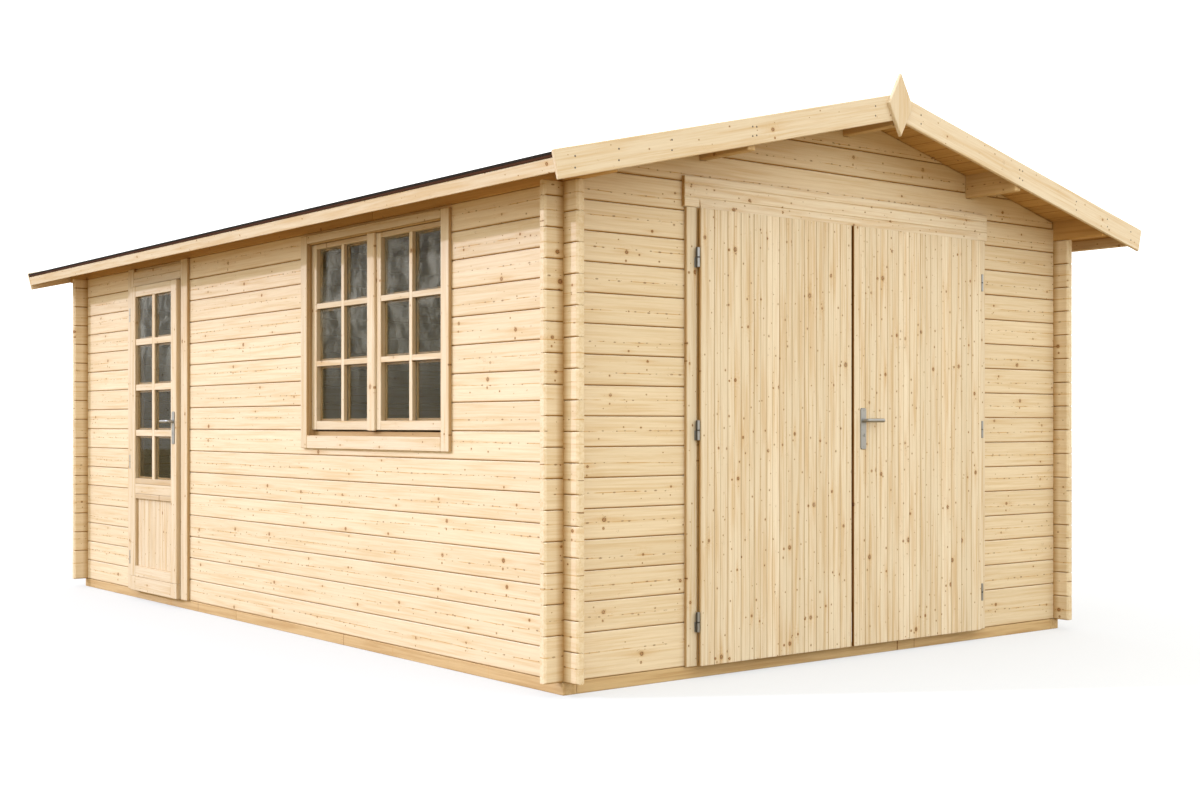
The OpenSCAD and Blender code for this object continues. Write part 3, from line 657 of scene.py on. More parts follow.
def gable_wall(name, seed, side, openings, *nodes):
    """A gable wall: its courses start one and a half courses up, and run round the purlins."""
    slots = [(x - PURLIN_W / 2, x + PURLIN_W / 2, foot) for x, foot in PURLINS]
    wall = Wall(seed, (0, side * (HALF_L - LOG_T / 2), 0), (-side, 0, 0), HALF_W, openings, slots)
    low, high = BASE, BASE + 1.5 * COURSE
    while low < RIDGE_Z:
        if low > WALL_TOP - STEP:
            wall.necks = []
            wall.reach = HALF_W - LOG_T
        wall.course(low, high)
        low, high = high, high + COURSE
    wall.timber.object(name, LOGS, *nodes)


def gable_walls():
    head = Box("double_door_head")
    gable_wall("front_gable_logs", 23, -1, [(head.x0, head.x1, 0, head.z1)],
               "front_wall_left", "front_wall_right", "front_gable")
    gable_wall("back_gable_logs", 24, 1, [], "back_wall")


# --- roof ---

LENGTHWAYS = Place((0, 0, 0), (0, 1, 0), (0, 0, 1))
RIDGE_FELT = 0.152
EAVE_BUTT = Box("window_side_trims").middle
BOARDS, JOINT_W, JOINT_BEVEL, JOINT_SHADE = 21, 0.0003, 0.0045, 1.35
FELT_LENGTHS, FELT_LAP, FELT_LIFT = 3, 0.1, 0.0034


def slope_point(side, run, off):
    """The (height, x) of a point on the slope, run down from the ridge and off the boards."""
    return RIDGE_Z - run * SIN + off * COS, side * (run * COS + off * SIN)


def slope_place(side, run, off):
    """A place on the roof slope with its grain along Y and its width down the slope."""
    z, x = slope_point(side, run, off)
    return Place((x, 0, z), (0, 1, 0), (side * COS, 0, -SIN))


def upright_to(side):
    """The direction square to a slope."""
    return side * SIN, 0, COS


def eave_logs():
    """The top log of each side wall, planed to the slope, running out under both gables."""
    t = Timber(25)
    b, end = LOG_BEVEL, 0.004
    reach = ROOF_HALF - 0.004
    x0, x1 = HALF_W - LOG_T, HALF_W
    foot = WALL_TOP + LOG_GAP
    outline = [(foot, x0 + b), (foot, x1 - b), (WALL_TOP + b, x1),
               (roof_under(x1) - SEAT, x1), (roof_under(x0) - SEAT, x0), (WALL_TOP + b, x0)]
    for side in SIDES:
        for y0, y1 in ((-reach, EAVE_BUTT - LOG_GAP), (EAVE_BUTT, reach)):
            t.prism(LENGTHWAYS, y0, y1, [(z, side * x) for z, x in outline], end)
    # the eave logs take the soffit's darker spruce of painted shade
    t.object("eave_log_pair", SOFFIT_PAINTED_SHADE, "eave_logs")


def purlins():
    """Ridge purlin and two middle purlins, their tops planed to the slope."""
    t = Timber(26)
    b, end = 0.003, 0.004
    w = PURLIN_W / 2
    for x, foot in PURLINS:
        tops = [(roof_under(at) - SEAT, at) for at in (x + w, x, x - w)]
        outline = [(foot, x - w + b), (foot, x + w - b), (foot + b, x + w)] + tops
        t.prism(LENGTHWAYS, -ROOF_HALF, ROOF_HALF, outline + [(foot + b, x - w)], end)
    t.object("roof_purlins", BEAMS, "purlins")


def roof_boards():
    """Grooved and tongued boards from gable to gable, with V joints that show below."""
    width = ROOF_RUN / BOARDS
    for side, name in zip(SIDES, ("left", "right")):
        t = Timber(27 + side)
        for i in range(BOARDS):
            place = slope_place(side, (i + 0.5) * width, ROOF_T / 2)
            reach = ROOF_HALF - t.rng.uniform(0, 0.0015)
            # painted shade on the board edges, dark in the V joints and on the eave edge
            t.bar(place, -reach, reach, width - JOINT_W, ROOF_T, JOINT_BEVEL,
                  deep=JOINT_SHADE)
        # the soffit boards are in the darker spruce of painted shade
        t.object("soffit_boards_" + name, SOFFIT_PAINTED_SHADE, "roof_boards_" + name)


def roof_felt():
    """Felt in lapped lengths, a ridge strip, and an edge turned down over the boards."""
    t = Timber(31)
    reach = ROOF_HALF - 0.001

    def strip(points):
        t.loft(LENGTHWAYS, [(-reach, points), (reach, points)])

    step = ROOF_RUN / FELT_LENGTHS
    for side in SIDES:
        for i in range(FELT_LENGTHS):
            top, foot = max(i * step - FELT_LAP, 0.004), (i + 1) * step
            lift = FELT_LIFT if i < FELT_LENGTHS - 1 else 0
            line = ((top, 0.0002), (0.5 * (top + foot), 0.35 * lift), (foot, lift))
            strip([slope_point(side, run, ROOF_T + off + FELT_T) for run, off in line]
                  + [slope_point(side, run, ROOF_T + off + 0.0002) for run, off in line[::-1]])
        for off, deep in ((ROOF_T - 0.0019, 0), (0.006, 1.4)):
            edge = slope_place(side, ROOF_RUN + 0.0014, off)
            t.bar(edge, -reach, reach, 0.0022, 0.0105, 0.0008, deep=deep)
    low, high = (ROOF_T + FELT_T + off for off in (0.001, 0.0032))
    strip([slope_point(-1, RIDGE_FELT, high), (RIDGE_Z + high / COS, 0),
           slope_point(1, RIDGE_FELT, high), slope_point(1, RIDGE_FELT, low),
           (RIDGE_Z + low / COS, 0), slope_point(-1, RIDGE_FELT, low)])
    t.object("felt_sheets", FELT, "roof_felt")


def fascias():
    t = Timber(32)
    for side in SIDES:
        origin = slope_place(side, ROOF_RUN - FASCIA_T / 2, -FASCIA_H / 2 - SEAT).origin
        place = Place(origin, (0, 1, 0), upright_to(side))
        t.bar(place, -ROOF_HALF, ROOF_HALF, FASCIA_H - SEAT, FASCIA_T)
    t.object("eave_fascia_pair", PLANED, "eave_fascias")


def bargeboards():
    """Two boards on each gable, cut plumb where they meet and square at the eaves."""
    middle = BARGE_TOP - BARGE_H / 2
    gap, past = 0.001, 0.003
    start = (gap - middle * SIN) / COS
    for end, name in zip(SIDES, ("front", "back")):
        t = Timber(35 + end)
        for side in SIDES:
            up = upright_to(side)
            origin = (up[0] * middle, end * (ROOF_HALF + BARGE_T / 2), RIDGE_Z + up[2] * middle)
            t.bar(Place(origin, (side * COS, 0, -SIN), up), start, ROOF_RUN + past, BARGE_H,
                  BARGE_T, 0.003, -TAN)
        t.object(name + "_barge_pair", PLANED, name + "_bargeboards")


def diamonds():
    """The diamond over the joint of each pair of bargeboards."""
    t = Timber(38)
    cad = Box("gable_diamonds")
    half_w, half_h = cad.x1, (cad.z1 - cad.z0) / 2
    middle = (cad.z0 + cad.z1) / 2
    thick, bevel = 0.018, 0.003
    full = [(half_h, 0), (0, half_w), (-half_h, 0), (0, -half_w)]
    small = [(y * 0.955, z * 0.955) for y, z in full]
    for end in SIDES:
        place = Place((0, end * (ROOF_HALF + BARGE_T), middle), (0, end, 0), (0, 0, 1))
        t.loft(place, [(0, full), (thick - bevel, full), (thick, small)], turned=True)
    t.object("gable_diamond_pair", PLANED, "gable_diamonds")


# --- hardware and nails ---


def angles(count):
    return [2 * pi * i / count for i in range(count)]


def circle(radius, z, count):
    """A circle as (across, through) points, its centre at z through."""
    return [(radius * cos(a), z + radius * sin(a)) for a in angles(count)]


def rounded(width, height, radius):
    """A rectangle with rounded corners, as (across, through) points."""
    steps = 6
    points = []
    for k, (sy, sz) in enumerate(((1, 1), (-1, 1), (-1, -1), (1, -1))):
        for i in range(steps + 1):
            a = pi / 2 * (k + i / steps)
            points.append((sy * (width / 2 - radius) + radius * cos(a),
                           sz * (height / 2 - radius) + radius * sin(a)))
    return points


class Hardware(Timber):
    """Turned, swept and pierced metal shapes."""

    def turned(self, place, profile, segments, flank=0):
        """Turns (along, radius, shade) points round the axis. Flank is painted shade and a dark
        painted reflection on the sides across the axis.
        """
        rings = []
        for x, r, *shade in profile:
            rings.append((x, [(r * cos(a), r * sin(a),
                               max(flank * cos(a) ** 2, *shade, 0))
                              for a in angles(segments)]))
        self.loft(place, rings)

    def swept(self, place, path, segments):
        """Sweeps a round section through (along, across, radius) stations."""
        points = []
        for i, (x, y, r) in enumerate(path):
            (xa, ya, _), (xb, yb, _) = path[max(i - 1, 0)], path[min(i + 1, len(path) - 1)]
            size = hypot(xb - xa, yb - ya)
            nx, ny = (ya - yb) / size, (xb - xa) / size
            for a in angles(segments):
                points.append((x + r * cos(a) * nx, y + r * cos(a) * ny,
                               r * sin(a)))
        self.add(place, points, skin(len(path), segments))

    def pierced(self, place, outline, front, holes, thick, bevel):
        """A plate with holes, from its outline and the smaller one of its chamfered front."""
        bm = bmesh.new()

        def ring(points, x):
            return [bm.verts.new((x, y, z)) for y, z in points]

        back, edge, face = ring(outline, 0), ring(outline, thick - bevel), ring(front, thick)
        walls, backs, faces = [(back, edge), (edge, face)], [back], [face]
        for hole in holes:
            walls.append((ring(hole, 0), ring(hole, thick)))
            backs.append(walls[-1][0])
            faces.append(walls[-1][1])
        for a, b in walls:
            for i in range(len(a)):
                j = (i + 1) % len(a)
                bm.faces.new((a[i], a[j], b[j], b[i]))
        for group in (backs, faces):
            edges = [bm.edges.get((r[i - 1], r[i])) for r in group for i in range(len(r))]
            bmesh.ops.triangle_fill(bm, use_beauty=True, edges=edges)
        bm.verts.index_update()
        # the plate's sides and back carry painted shade and a dark painted reflection; its front
        # does not
        points = [(*v.co, 0 if v.co.x > thick - bevel / 2 else 1) for v in bm.verts]
        self.add(place, points, [[v.index for v in f.verts] for f in bm.faces])
        bm.free()

    def head(self, origin, outward, radius, height):
        """A low domed nail or screw head that stands on a surface."""
        side = (1, 0, 0) if abs(outward[0]) < 0.9 else (0, 1, 0)
        self.turned(Place(origin, outward, side),
                    [(-0.0004, radius), (0.4 * height, 0.95 * radius), (height, 0.5 * radius)], 10)


BARGE_NAILS = (0.16, PURLIN_X - 0.012, PURLIN_X + 0.012, 1.4, 1.68, 1.9)
FELT_NAILS, FELT_NAIL_IN = 41, 0.06


def nails():
    """Nail heads in the bargeboards, at the purlins and the eave logs, and along the felt."""
    t = Hardware(41)
    for end in SIDES:
        for x in BARGE_NAILS:
            for side in SIDES:
                for off in (-0.052, -0.012):
                    z = roof_under(x) + off / COS + t.rng.uniform(-0.003, 0.003)
                    t.head((side * x, end * (ROOF_HALF + BARGE_T), z), (0, end, 0), 0.0042, 0.0008)
    t.object("bargeboard_nails", DARK)

    t = Hardware(42)
    for side in SIDES:
        for run, off in ((ROOF_RUN - 0.02, FELT_T), (ROOF_RUN * 2 / 3 - 0.03, 0.003 + FELT_T),
                         (ROOF_RUN / 3 - 0.03, 0.003 + FELT_T), (0.13, 0.0055)):
            base = slope_place(side, run, ROOF_T + off).origin
            for i in range(FELT_NAILS):
                y = i * (2 * ROOF_HALF - 2 * FELT_NAIL_IN) / (FELT_NAILS - 1)
                y = -ROOF_HALF + FELT_NAIL_IN + y
                t.head(base + Vector((0, y, 0)), upright_to(side), 0.0055, 0.0012)
    t.object("felt_nails", DARK)


# --- double door ---

# painted shade on the trims' narrow sides, and on the front of the strip beside the leaf's edge
TRIM_T, TRIM_SIDE_SHADE = 0.02, 0.7
REBATE_W, REBATE_SHADE = 0.014, 0.9
MEETING, MEETING_SHADE = 0.003, 2
LEAF_BOARDS, RAIL_W = 12, 0.11
BOARD_GAP, BOARD_BEVEL, LINE_WANDER = 0.0004, 0.0031, 0.014
TOP_PAST, TOP_UNEVEN = 0.0025, 0.0008


def double_door_frame():
    """Jambs and head in the wall, and planed trims over the ends of the logs."""
    head, jambs = Box("double_door_head"), Box("double_door_jambs")
    trims, leaf_edge = Box("double_door_trims"), Box("left_leaf_boards").x0
    t = Timber(51)
    for side in SIDES:
        t.box(side * head.x1, -side * (leaf_edge + 0.025), head.y0, head.y1,
              jambs.z0 + SEAT, jambs.z1 - SEAT, "z")
    t.box(head.x0, head.x1, head.y0, head.y1, head.z0, head.z1 - SEAT, "x")
    t.object("double_door_frame", FRAMES, "double_door_jambs", "double_door_head")

    t = Timber(52)
    inner = leaf_edge + 0.01
    seam = inner - REBATE_W
    # the inner strip of each trim is darkened as painted shade where the leaf shades it
    for side in SIDES:
        for outer, edge, bevel, deep in ((side * trims.x1, seam, 0.003, TRIM_SIDE_SHADE),
                                         (-side * seam, inner, 0.001, REBATE_SHADE)):
            t.box(outer, -side * edge, trims.y0, trims.y1, trims.z0, trims.z1 - SEAT, "z",
                  bevel, deep)
    t.object("double_door_trim_pair", CLADDING, "double_door_trims")


def double_door_header():
    """A grooved board over both leaves, with a sloping drip strip between the trims."""
    t = Timber(53)
    cad = Box("double_door_header")
    face, back = -HALF_L - TRIM_T - 0.002, -HALF_L
    groove, b = 0.004, 0.003
    mid = cad.z0 + 0.039
    board = [(cad.z0, back), (cad.z0, face + b), (cad.z0 + b, face)]
    for z in (mid + groove, cad.z1 - 0.036):
        board += [(z - groove, face), (z, face + groove), (z + groove, face)]
    board += [(cad.z1 - b, face), (cad.z1, face + b), (cad.z1, back)]
    place = Place((0, 0, 0), (1, 0, 0), (0, 0, 1))
    # the board's end faces carry painted shade
    t.prism(place, cad.x0, cad.x1, [(z, -y) for z, y in board], 0.003, cap=0.8)
    foot, out = cad.z0 - 0.0015, cad.y0 + 0.0005
    strip = [(foot, back), (foot, out), (cad.z0 + 0.014, out),
             (mid - 0.006, face - 0.002), (mid - 0.002, face)]
    reach = Box("right_leaf_boards").x1 - 0.012
    t.prism(place, -reach, reach, [(z, -y + SEAT) for z, y in strip], 0.0015)
    t.object("double_door_header_board", CLADDING, "double_door_header")


def board_ring(width, thick, bevel, line):
    """A tongued board's profile: V joints at its edges and a fine line down its face, with painted
    shade in the joints, darker on the right-hand bevel, and along the fine line.
    """
    w, t, b, c = width / 2, thick / 2, bevel, 0.0013
    return [(w - b, t), (-w + b, t), (-w, t - b, 1), (-w, -t + b, 0.45), (-w + b, -t),
            (line - c, -t), (line, -t + c, 0.7), (line + c, -t),
            (w - b, -t), (w, -t + b, 1), (w, t - b, 1)]


def leaves():
    """The two leaves of the double door: upright boards, and three rails on their back."""
    for body, seed, meeting in (("left_leaf", 61, LEAF_BOARDS - 1), ("right_leaf", 63, 0)):
        cad, rails = Box(body + "_boards"), Box(body + "_rails")
        width, thick = (cad.x1 - cad.x0 - MEETING) / LEAF_BOARDS, cad.y1 - cad.y0
        x0 = cad.x0 if meeting else cad.x0 + MEETING
        end = 0.0015
        t = Timber(seed)
        for i in range(LEAF_BOARDS):
            place = Place((x0 + (i + 0.5) * width, cad.middle, 0), (0, 0, 1), (1, 0, 0))
            line = t.rng.uniform(-LINE_WANDER, LINE_WANDER)
            ring = board_ring(width - BOARD_GAP, thick, BOARD_BEVEL, line)
            # painted shade in the gap where the leaves meet
            if i == meeting:
                ring = [(y, z, MEETING_SHADE)
                        if shade and (y > 0) == (meeting > 0) and abs(y) > 0.4 * width
                        else (y, z, *shade) for y, z, *shade in ring]
            small = [(y * (1 - 2 * end / width), z * (1 - 2 * end / thick)) for y, z, *_ in ring]
            top = cad.z1 + TOP_PAST - t.rng.uniform(0, TOP_UNEVEN)
            t.loft(place, [(cad.z0, small), (cad.z0 + end, ring), (top - end, ring),
                           (top, small)])
        t.object(body + "_cladding", CLADDING, body + "_boards", body=body)

        t = Timber(seed + 1)
        for z in (rails.z0, (rails.z0 + rails.z1 - RAIL_W) / 2, rails.z1 - RAIL_W):
            t.box(rails.x0, rails.x1, rails.y0, rails.y1, z, z + RAIL_W, "x", 0.004)
        t.object(body + "_rail_set", FRAMES, body + "_rails", body=body)


# --- hinges ---

BARREL_R, BARREL_H, BARREL_GAP, BORE_GAP = 0.009, 0.044, 0.001, 0.0001
PIN_R, PIN_SHORT = 0.004, 0.004
HINGE_OUT, STRAP_T = 0.011, 0.005
FOOT_W, FOOT_T = 0.0095, 0.003
# painted shade and dark painted reflection on the barrels' sides, and painted shade by the joint
# between the barrels
FLANK_SHADE_AND_REFLECTION, NOTCH, EDGE = 0.9, 0.0022, 0.0007
AXIS_R = 0.0006
ROUND = 28


def hinge_set(uppers, lowers, x, y, heights, toward, back, reach):
    """Hinges on one axis. Toward points to the leaf, and back into the wall."""
    r, h, e, bore = BARREL_R, BARREL_H, EDGE, PIN_R + BORE_GAP
    cap = h - 0.0032
    top, foot = -BARREL_GAP, -BARREL_GAP - h
    toward, back, up = Vector(toward), Vector(back), (0, 0, 1)
    for z in heights:
        spot = Vector((x, y, z))
        # the barrels' ends by the joint and the upper strap's sides carry painted shade
        uppers.turned(Place(spot, up, toward),
                      [(cap, AXIS_R), (cap, bore), (0, bore, 1), (0, r - e, 1), (NOTCH, r, 1),
                       (NOTCH + e, r), (h - 2.5 * e, r), (h - e, r - 0.8 * e), (h, r - 3 * e),
                       (h, AXIS_R)], ROUND, FLANK_SHADE_AND_REFLECTION)
        middle = spot + Vector((0, 0, h / 2))
        uppers.bar(Place(middle, toward, up), 0.0065, HINGE_OUT, h, STRAP_T, 0.0004, deep=1)

        lowers.turned(Place(spot, up, toward),
                      [(foot, AXIS_R), (foot, r - 3 * e), (foot + e, r - 0.8 * e),
                       (foot + 2.5 * e, r), (top - NOTCH - e, r), (top - NOTCH, r, 1),
                       (top, r - e, 1), (top, PIN_R, 1), (h - PIN_SHORT - e, PIN_R),
                       (h - PIN_SHORT, PIN_R - e)], ROUND, FLANK_SHADE_AND_REFLECTION)
        middle = spot + Vector((0, 0, (top + foot) / 2))
        lowers.bar(Place(middle, back, up), 0.007, reach, h, STRAP_T, 0.0004)
        aside = middle + toward * (STRAP_T / 2 - FOOT_W / 2)
        lowers.bar(Place(aside, back, up), reach - FOOT_T, reach, h, FOOT_W, 0.0004)


def hinges():
    """Three hinges for each leaf and the side door: barrels on the door, pins on the building."""
    pins = Hardware(70)
    for body, door, raised, toward in (("left_leaf", "left_leaf_boards", 0.031, (1, 0, 0)),
                                       ("right_leaf", "left_leaf_boards", 0.031, (-1, 0, 0)),
                                       ("side_door", "side_door_stiles", -0.15, (0, -1, 0))):
        cad, door = Box(body + "_hinges"), Box(door)
        x = cad.x1 - BARREL_R if body == "right_leaf" else cad.x0 + BARREL_R
        y = cad.y1 - BARREL_R if body == "side_door" else cad.y0 + BARREL_R
        back, reach = (0, 1, 0), -HALF_L - TRIM_T - cad.y0 - BARREL_R
        if body == "side_door":
            back, reach = (1, 0, 0), -HALF_W - TRIM_T - cad.x0 - BARREL_R
        heights = (cad.z0, (door.z0 + door.z1) / 2 + raised, cad.z1 - BARREL_H)
        barrels = Hardware(71)
        hinge_set(barrels, pins, x, y, heights, toward, back, reach)
        barrels.object(body + "_hinge_barrels", STEEL, body + "_hinges", body=body)
    pins.object("hinge_pin_barrels", STEEL, "hinge_pins")


# --- handles ---

PLATE_T, PLATE_UP, PLATE_R, PLATE_BEVEL = 0.004, 0.06, 0.0095, 0.0022
KEY_R, KEY_DROP = 0.0085, 0.072
SCREW_R, SCREW_HEAD_R, SCREW_IN = 0.003, 0.0028, 0.012
LEVER_OUT, LEVER_LEN, LEVER_BEND = 0.038, 0.108, 0.012
NECK_R, LEVER_R = 0.0088, 0.0098


def handle(body, lever_body, axis, out, along):
    """A pierced plate with screws and a key cylinder, and the lever that turns in it."""
    cad = Box(body + "_handle_plate")
    width, height = max(cad.x1 - cad.x0, cad.y1 - cad.y0), cad.z1 - cad.z0
    axis, out, along, up = Vector(axis), Vector(out), Vector(along), Vector((0, 0, 1))
    drop = height / 2 - PLATE_UP
    middle = axis - up * drop
    key = axis - up * KEY_DROP
    screws = (height / 2 - SCREW_IN, SCREW_IN - height / 2)

    plate = Hardware(81)
    flip = 1 if out.cross(along).z > 0 else -1
    holes = [circle(NECK_R + 0.0003, flip * drop, 32), circle(KEY_R, flip * (drop - KEY_DROP), 32)]
    holes += [circle(SCREW_R, flip * z, 16) for z in screws]
    plate.pierced(Place(middle, out, along), rounded(width, height, PLATE_R),
                  rounded(width - 2 * PLATE_BEVEL, height - 2 * PLATE_BEVEL, 0.008), holes,
                  PLATE_T, PLATE_BEVEL)
    for z in screws:
        plate.head(middle + up * z + out * 0.0022, out, SCREW_HEAD_R, 0.001)
    plate.turned(Place(key, out, along), [(0, 0.007), (0.0034, 0.007), (0.0044, 0.0062),
                                          (0.0044, 0.003), (0.004, 0.0028)], ROUND)
    plate.object(body + "_handle_backplate", STEEL, body + "_handle_plate", body=body)

    # dark bars as painted shade in the keyhole and in the screw slots
    dark = Hardware(82)
    dark.bar(Place(key, out, up), 0.0038, 0.0046, 0.0062, 0.0013, 0.0002)
    for z in screws:
        dark.bar(Place(middle + up * z, out, (up + along * 0.35).normalized()), 0.0028, 0.0034,
                 0.004, 0.0008, 0.0001)
    dark.object(body + "_handle_slots", DARK, body=body)

    lever = Hardware(83)
    place = Place(axis, out, along)
    path = [(0.0006, 0, NECK_R - 0.0006), (0.0012, 0, NECK_R), (0.02, 0, NECK_R - 0.0003)]
    for i in range(9):
        a = pi / 2 * i / 8
        path.append((LEVER_OUT - LEVER_BEND + LEVER_BEND * sin(a),
                     LEVER_BEND - LEVER_BEND * cos(a),
                     NECK_R - 0.0004 + (LEVER_R - NECK_R) * i / 8))
    for short, slim in ((0.006, 0), (0.002, 0.0004), (0.0005, 0.002), (0, 0.004)):
        path.append((LEVER_OUT, LEVER_LEN - short, LEVER_R - slim))
    lever.swept(place, path, ROUND)
    low, high = PLATE_T + 0.0006, PLATE_T + 0.004
    lever.turned(place, [(low, NECK_R - 0.001), (low, 0.011), (PLATE_T + 0.0032, 0.0112),
                         (high, 0.0104), (high, NECK_R - 0.001)], 32)
    lever.object(body + "_lever_bar", STEEL, body + "_lever", body=lever_body)


def handles():
    lever = Box("right_leaf_lever")
    z = (lever.z0 + lever.z1) / 2
    plate = Box("right_leaf_handle_plate")
    handle("right_leaf", "right_lever", ((plate.x0 + plate.x1) / 2, plate.y1, z), (0, -1, 0),
           (1, 0, 0))
    plate = Box("side_door_handle_plate")
    handle("side_door", "side_lever", (plate.x1, plate.middle, z), (-1, 0, 0), (0, 1, 0))


# --- joinery in the left wall ---

# painted shade on the reveals of door and sash members, and on the sides of the outer glazing bars
REVEAL_SHADE, GLAZED_SHADE = 0.35, 0.45
BEAD_W, BEAD_T = 0.012, 0.008
PANE_IN = 0.006


class Joinery(Timber):
    """Boards on the left wall: across from a middle to the front, and out from its face."""

    def __init__(self, seed, middle):
        super().__init__(seed)
        self.middle = middle

    def board(self, across0, across1, out0, out1, z0, z1, bevel=0.002, deep=0, along="z"):
        self.box(-HALF_W - out1, -HALF_W - out0, self.middle - across1, self.middle - across0,
                 z0, z1, along, bevel, deep)

    def uprights(self, outer, inner, *rest):
        """Two upright boards on either side of the middle."""
        for side in SIDES:
            self.board(side * outer, side * inner, *rest)

    def cross(self, half, *rest):
        """A level board across the middle."""
        self.board(-half, half, *rest, along="y")


def depths(box):
    """How far the outer and the inner side of a box stand out from the wall."""
    return -HALF_W - box.x0, -HALF_W - box.x1


def clear_spans(start, stop, count, bar_w):
    """The openings that a row of bars leaves."""
    step, half = (stop - start) / count, bar_w / 2
    return [(start + i * step + (half if i else 0),
             start + (i + 1) * step - (half if i < count - 1 else 0)) for i in range(count)]


def glazing(t, beads, across, height, columns, rows, bar_w, glass, front, back):
    """Square glazing bars on both faces of the glass, and beads round each pane inside."""
    wide, tall = clear_spans(*across, columns, bar_w), clear_spans(*height, rows, bar_w)
    glass_out, glass_in = glass
    # the outer bars' sides carry painted shade; the inner ones do not
    for low, high, deep in ((glass_out + SEAT, front, GLAZED_SHADE), (back, glass_in - SEAT, 0)):
        for (_, left), (right, _) in zip(wide, wide[1:]):
            t.board(left, right, low, high, *height, 0.0012, deep)
        for (_, foot), (head, _) in zip(tall, tall[1:]):
            for left, right in wide:
                t.board(left, right, low, high, foot, head, 0.0012, deep, "y")
    bead_in, bead_out = glass_in - SEAT - BEAD_T, glass_in - SEAT
    for left, right in wide:
        for foot, head in tall:
            for a in (left, right - BEAD_W):
                beads.board(a, a + BEAD_W, bead_in, bead_out, foot, head, 0.001)
            for z in (foot, head - BEAD_W):
                beads.board(left + BEAD_W, right - BEAD_W, bead_in, bead_out, z, z + BEAD_W,
                            0.001, 0, "y")


# --- side door ---

HEAD_JOINT, KICK_H = 0.049, 0.092
PANEL_BOARDS, DOOR_BAR_W = 10, 0.04


def side_door_frame():
    """Jambs and head in the wall, planed trims up to the eave log, and a grooved head board."""
    head, jambs, trims = Box("side_door_head"), Box("side_door_jambs"), Box("side_door_trims")
    board = Box("side_door_head_board")
    t = Joinery(91, head.middle)
    t.uprights(head.half, Box("side_door_stiles").half - 0.012, -LOG_T, 0, jambs.z0 + SEAT,
               jambs.z1 - SEAT)
    t.cross(head.half, -LOG_T, 0, head.z0, head.z1 - SEAT)
    t.object("side_door_frame", FRAMES, "side_door_jambs", "side_door_head")

    t = Joinery(92, head.middle)
    t.uprights(trims.half, board.half, 0, TRIM_T, trims.z0, trims.z1 - SEAT, 0.003, TRIM_SIDE_SHADE)
    t.object("side_door_trim_pair", PLANED, "side_door_trims")

    t = Joinery(93, head.middle)
    joint = board.z0 + HEAD_JOINT
    t.cross(board.half - SEAT, 0, TRIM_T, board.z0, joint - SEAT, 0.0025)
    t.cross(board.half - SEAT, 0, TRIM_T - 0.001, joint + SEAT, board.z1, 0.0025)
    t.object("side_door_head_boards", PLANED, "side_door_head_board")


def side_door():
    """The framed door: stiles, rails, eight panes over a boarded panel."""
    stiles, rails = Box("side_door_stiles"), Box("side_door_rails")
    glass, panel = Box("side_door_glass"), Box("side_door_panel")
    inner = rails.half
    rebate = glass.half - inner
    front, back = depths(stiles)
    pane0, pane1 = glass.z0 + rebate, glass.z1 - rebate
    panel0, panel1 = panel.z0 + rebate, panel.z1 - rebate
    kick = stiles.z0 + KICK_H

    t = Joinery(94, stiles.middle)
    for side in SIDES:
        for z0, z1 in ((kick + SEAT, stiles.z1), (stiles.z0, kick - SEAT)):
            t.board(side * stiles.half, side * inner, back, front, z0, z1, 0.0025, REVEAL_SHADE)
    t.object("side_door_stile_pair", PLANED, "side_door_stiles", body="side_door")

    t = Joinery(95, stiles.middle)
    for z0, z1, set_back in ((stiles.z0, kick - SEAT, 0), (kick + SEAT, panel0, 0.0005),
                             (panel1, panel1 + 0.032, 0.002),
                             (panel1 + 0.0328, panel1 + 0.095, 0.0005),
                             (panel1 + 0.0958, pane0, 0.002), (pane1, stiles.z1, 0.0005)):
        t.cross(inner - SEAT, back, front - set_back, z0, z1, 0.0022, REVEAL_SHADE)
    beads = Joinery(98, stiles.middle)
    glazing(t, beads, (-inner, inner), (pane0, pane1), 2, 4, DOOR_BAR_W, depths(glass),
            front - 0.005, back + 0.004)
    t.object("side_door_rail_set", PLANED, "side_door_rails", body="side_door")
    beads.object("side_door_glazing_beads", FRAMES, body="side_door")

    t = Joinery(96, stiles.middle)
    panel_out, panel_in = depths(panel)
    width, gap = 2 * inner / PANEL_BOARDS, 0.0003
    for i in range(PANEL_BOARDS):
        a = -inner + i * width
        t.board(a + gap, a + width - gap, panel_in, panel_out, panel0 - PANE_IN,
                panel1 + PANE_IN, 0.0032)
    t.object("side_door_panel_boards", PLANED, "side_door_panel", body="side_door")

    t = Joinery(97, stiles.middle)
    glass_out, glass_in = depths(glass)
    t.board(-inner - PANE_IN, inner + PANE_IN, glass_in, glass_out, pane0 - PANE_IN,
            pane1 + PANE_IN, 0.0004)
    t.object("side_door_pane", GLASS, "side_door_glass", body="side_door")


# --- window ---

WINDOW_HEAD = 0.042
SASH_GAP, SILL_GAP = 0.003, 0.008
GLASS_BACK, SILL_BACK = 0.01, -0.034
SASH_W, SASH_FOOT, SASH_HEAD, SASH_BAR_W = 0.052, 0.046, 0.024, 0.028
COVER_LEFT, COVER_RIGHT, COVER_T, COVER_PAST = 0.059, 0.012, 0.014, 0.004


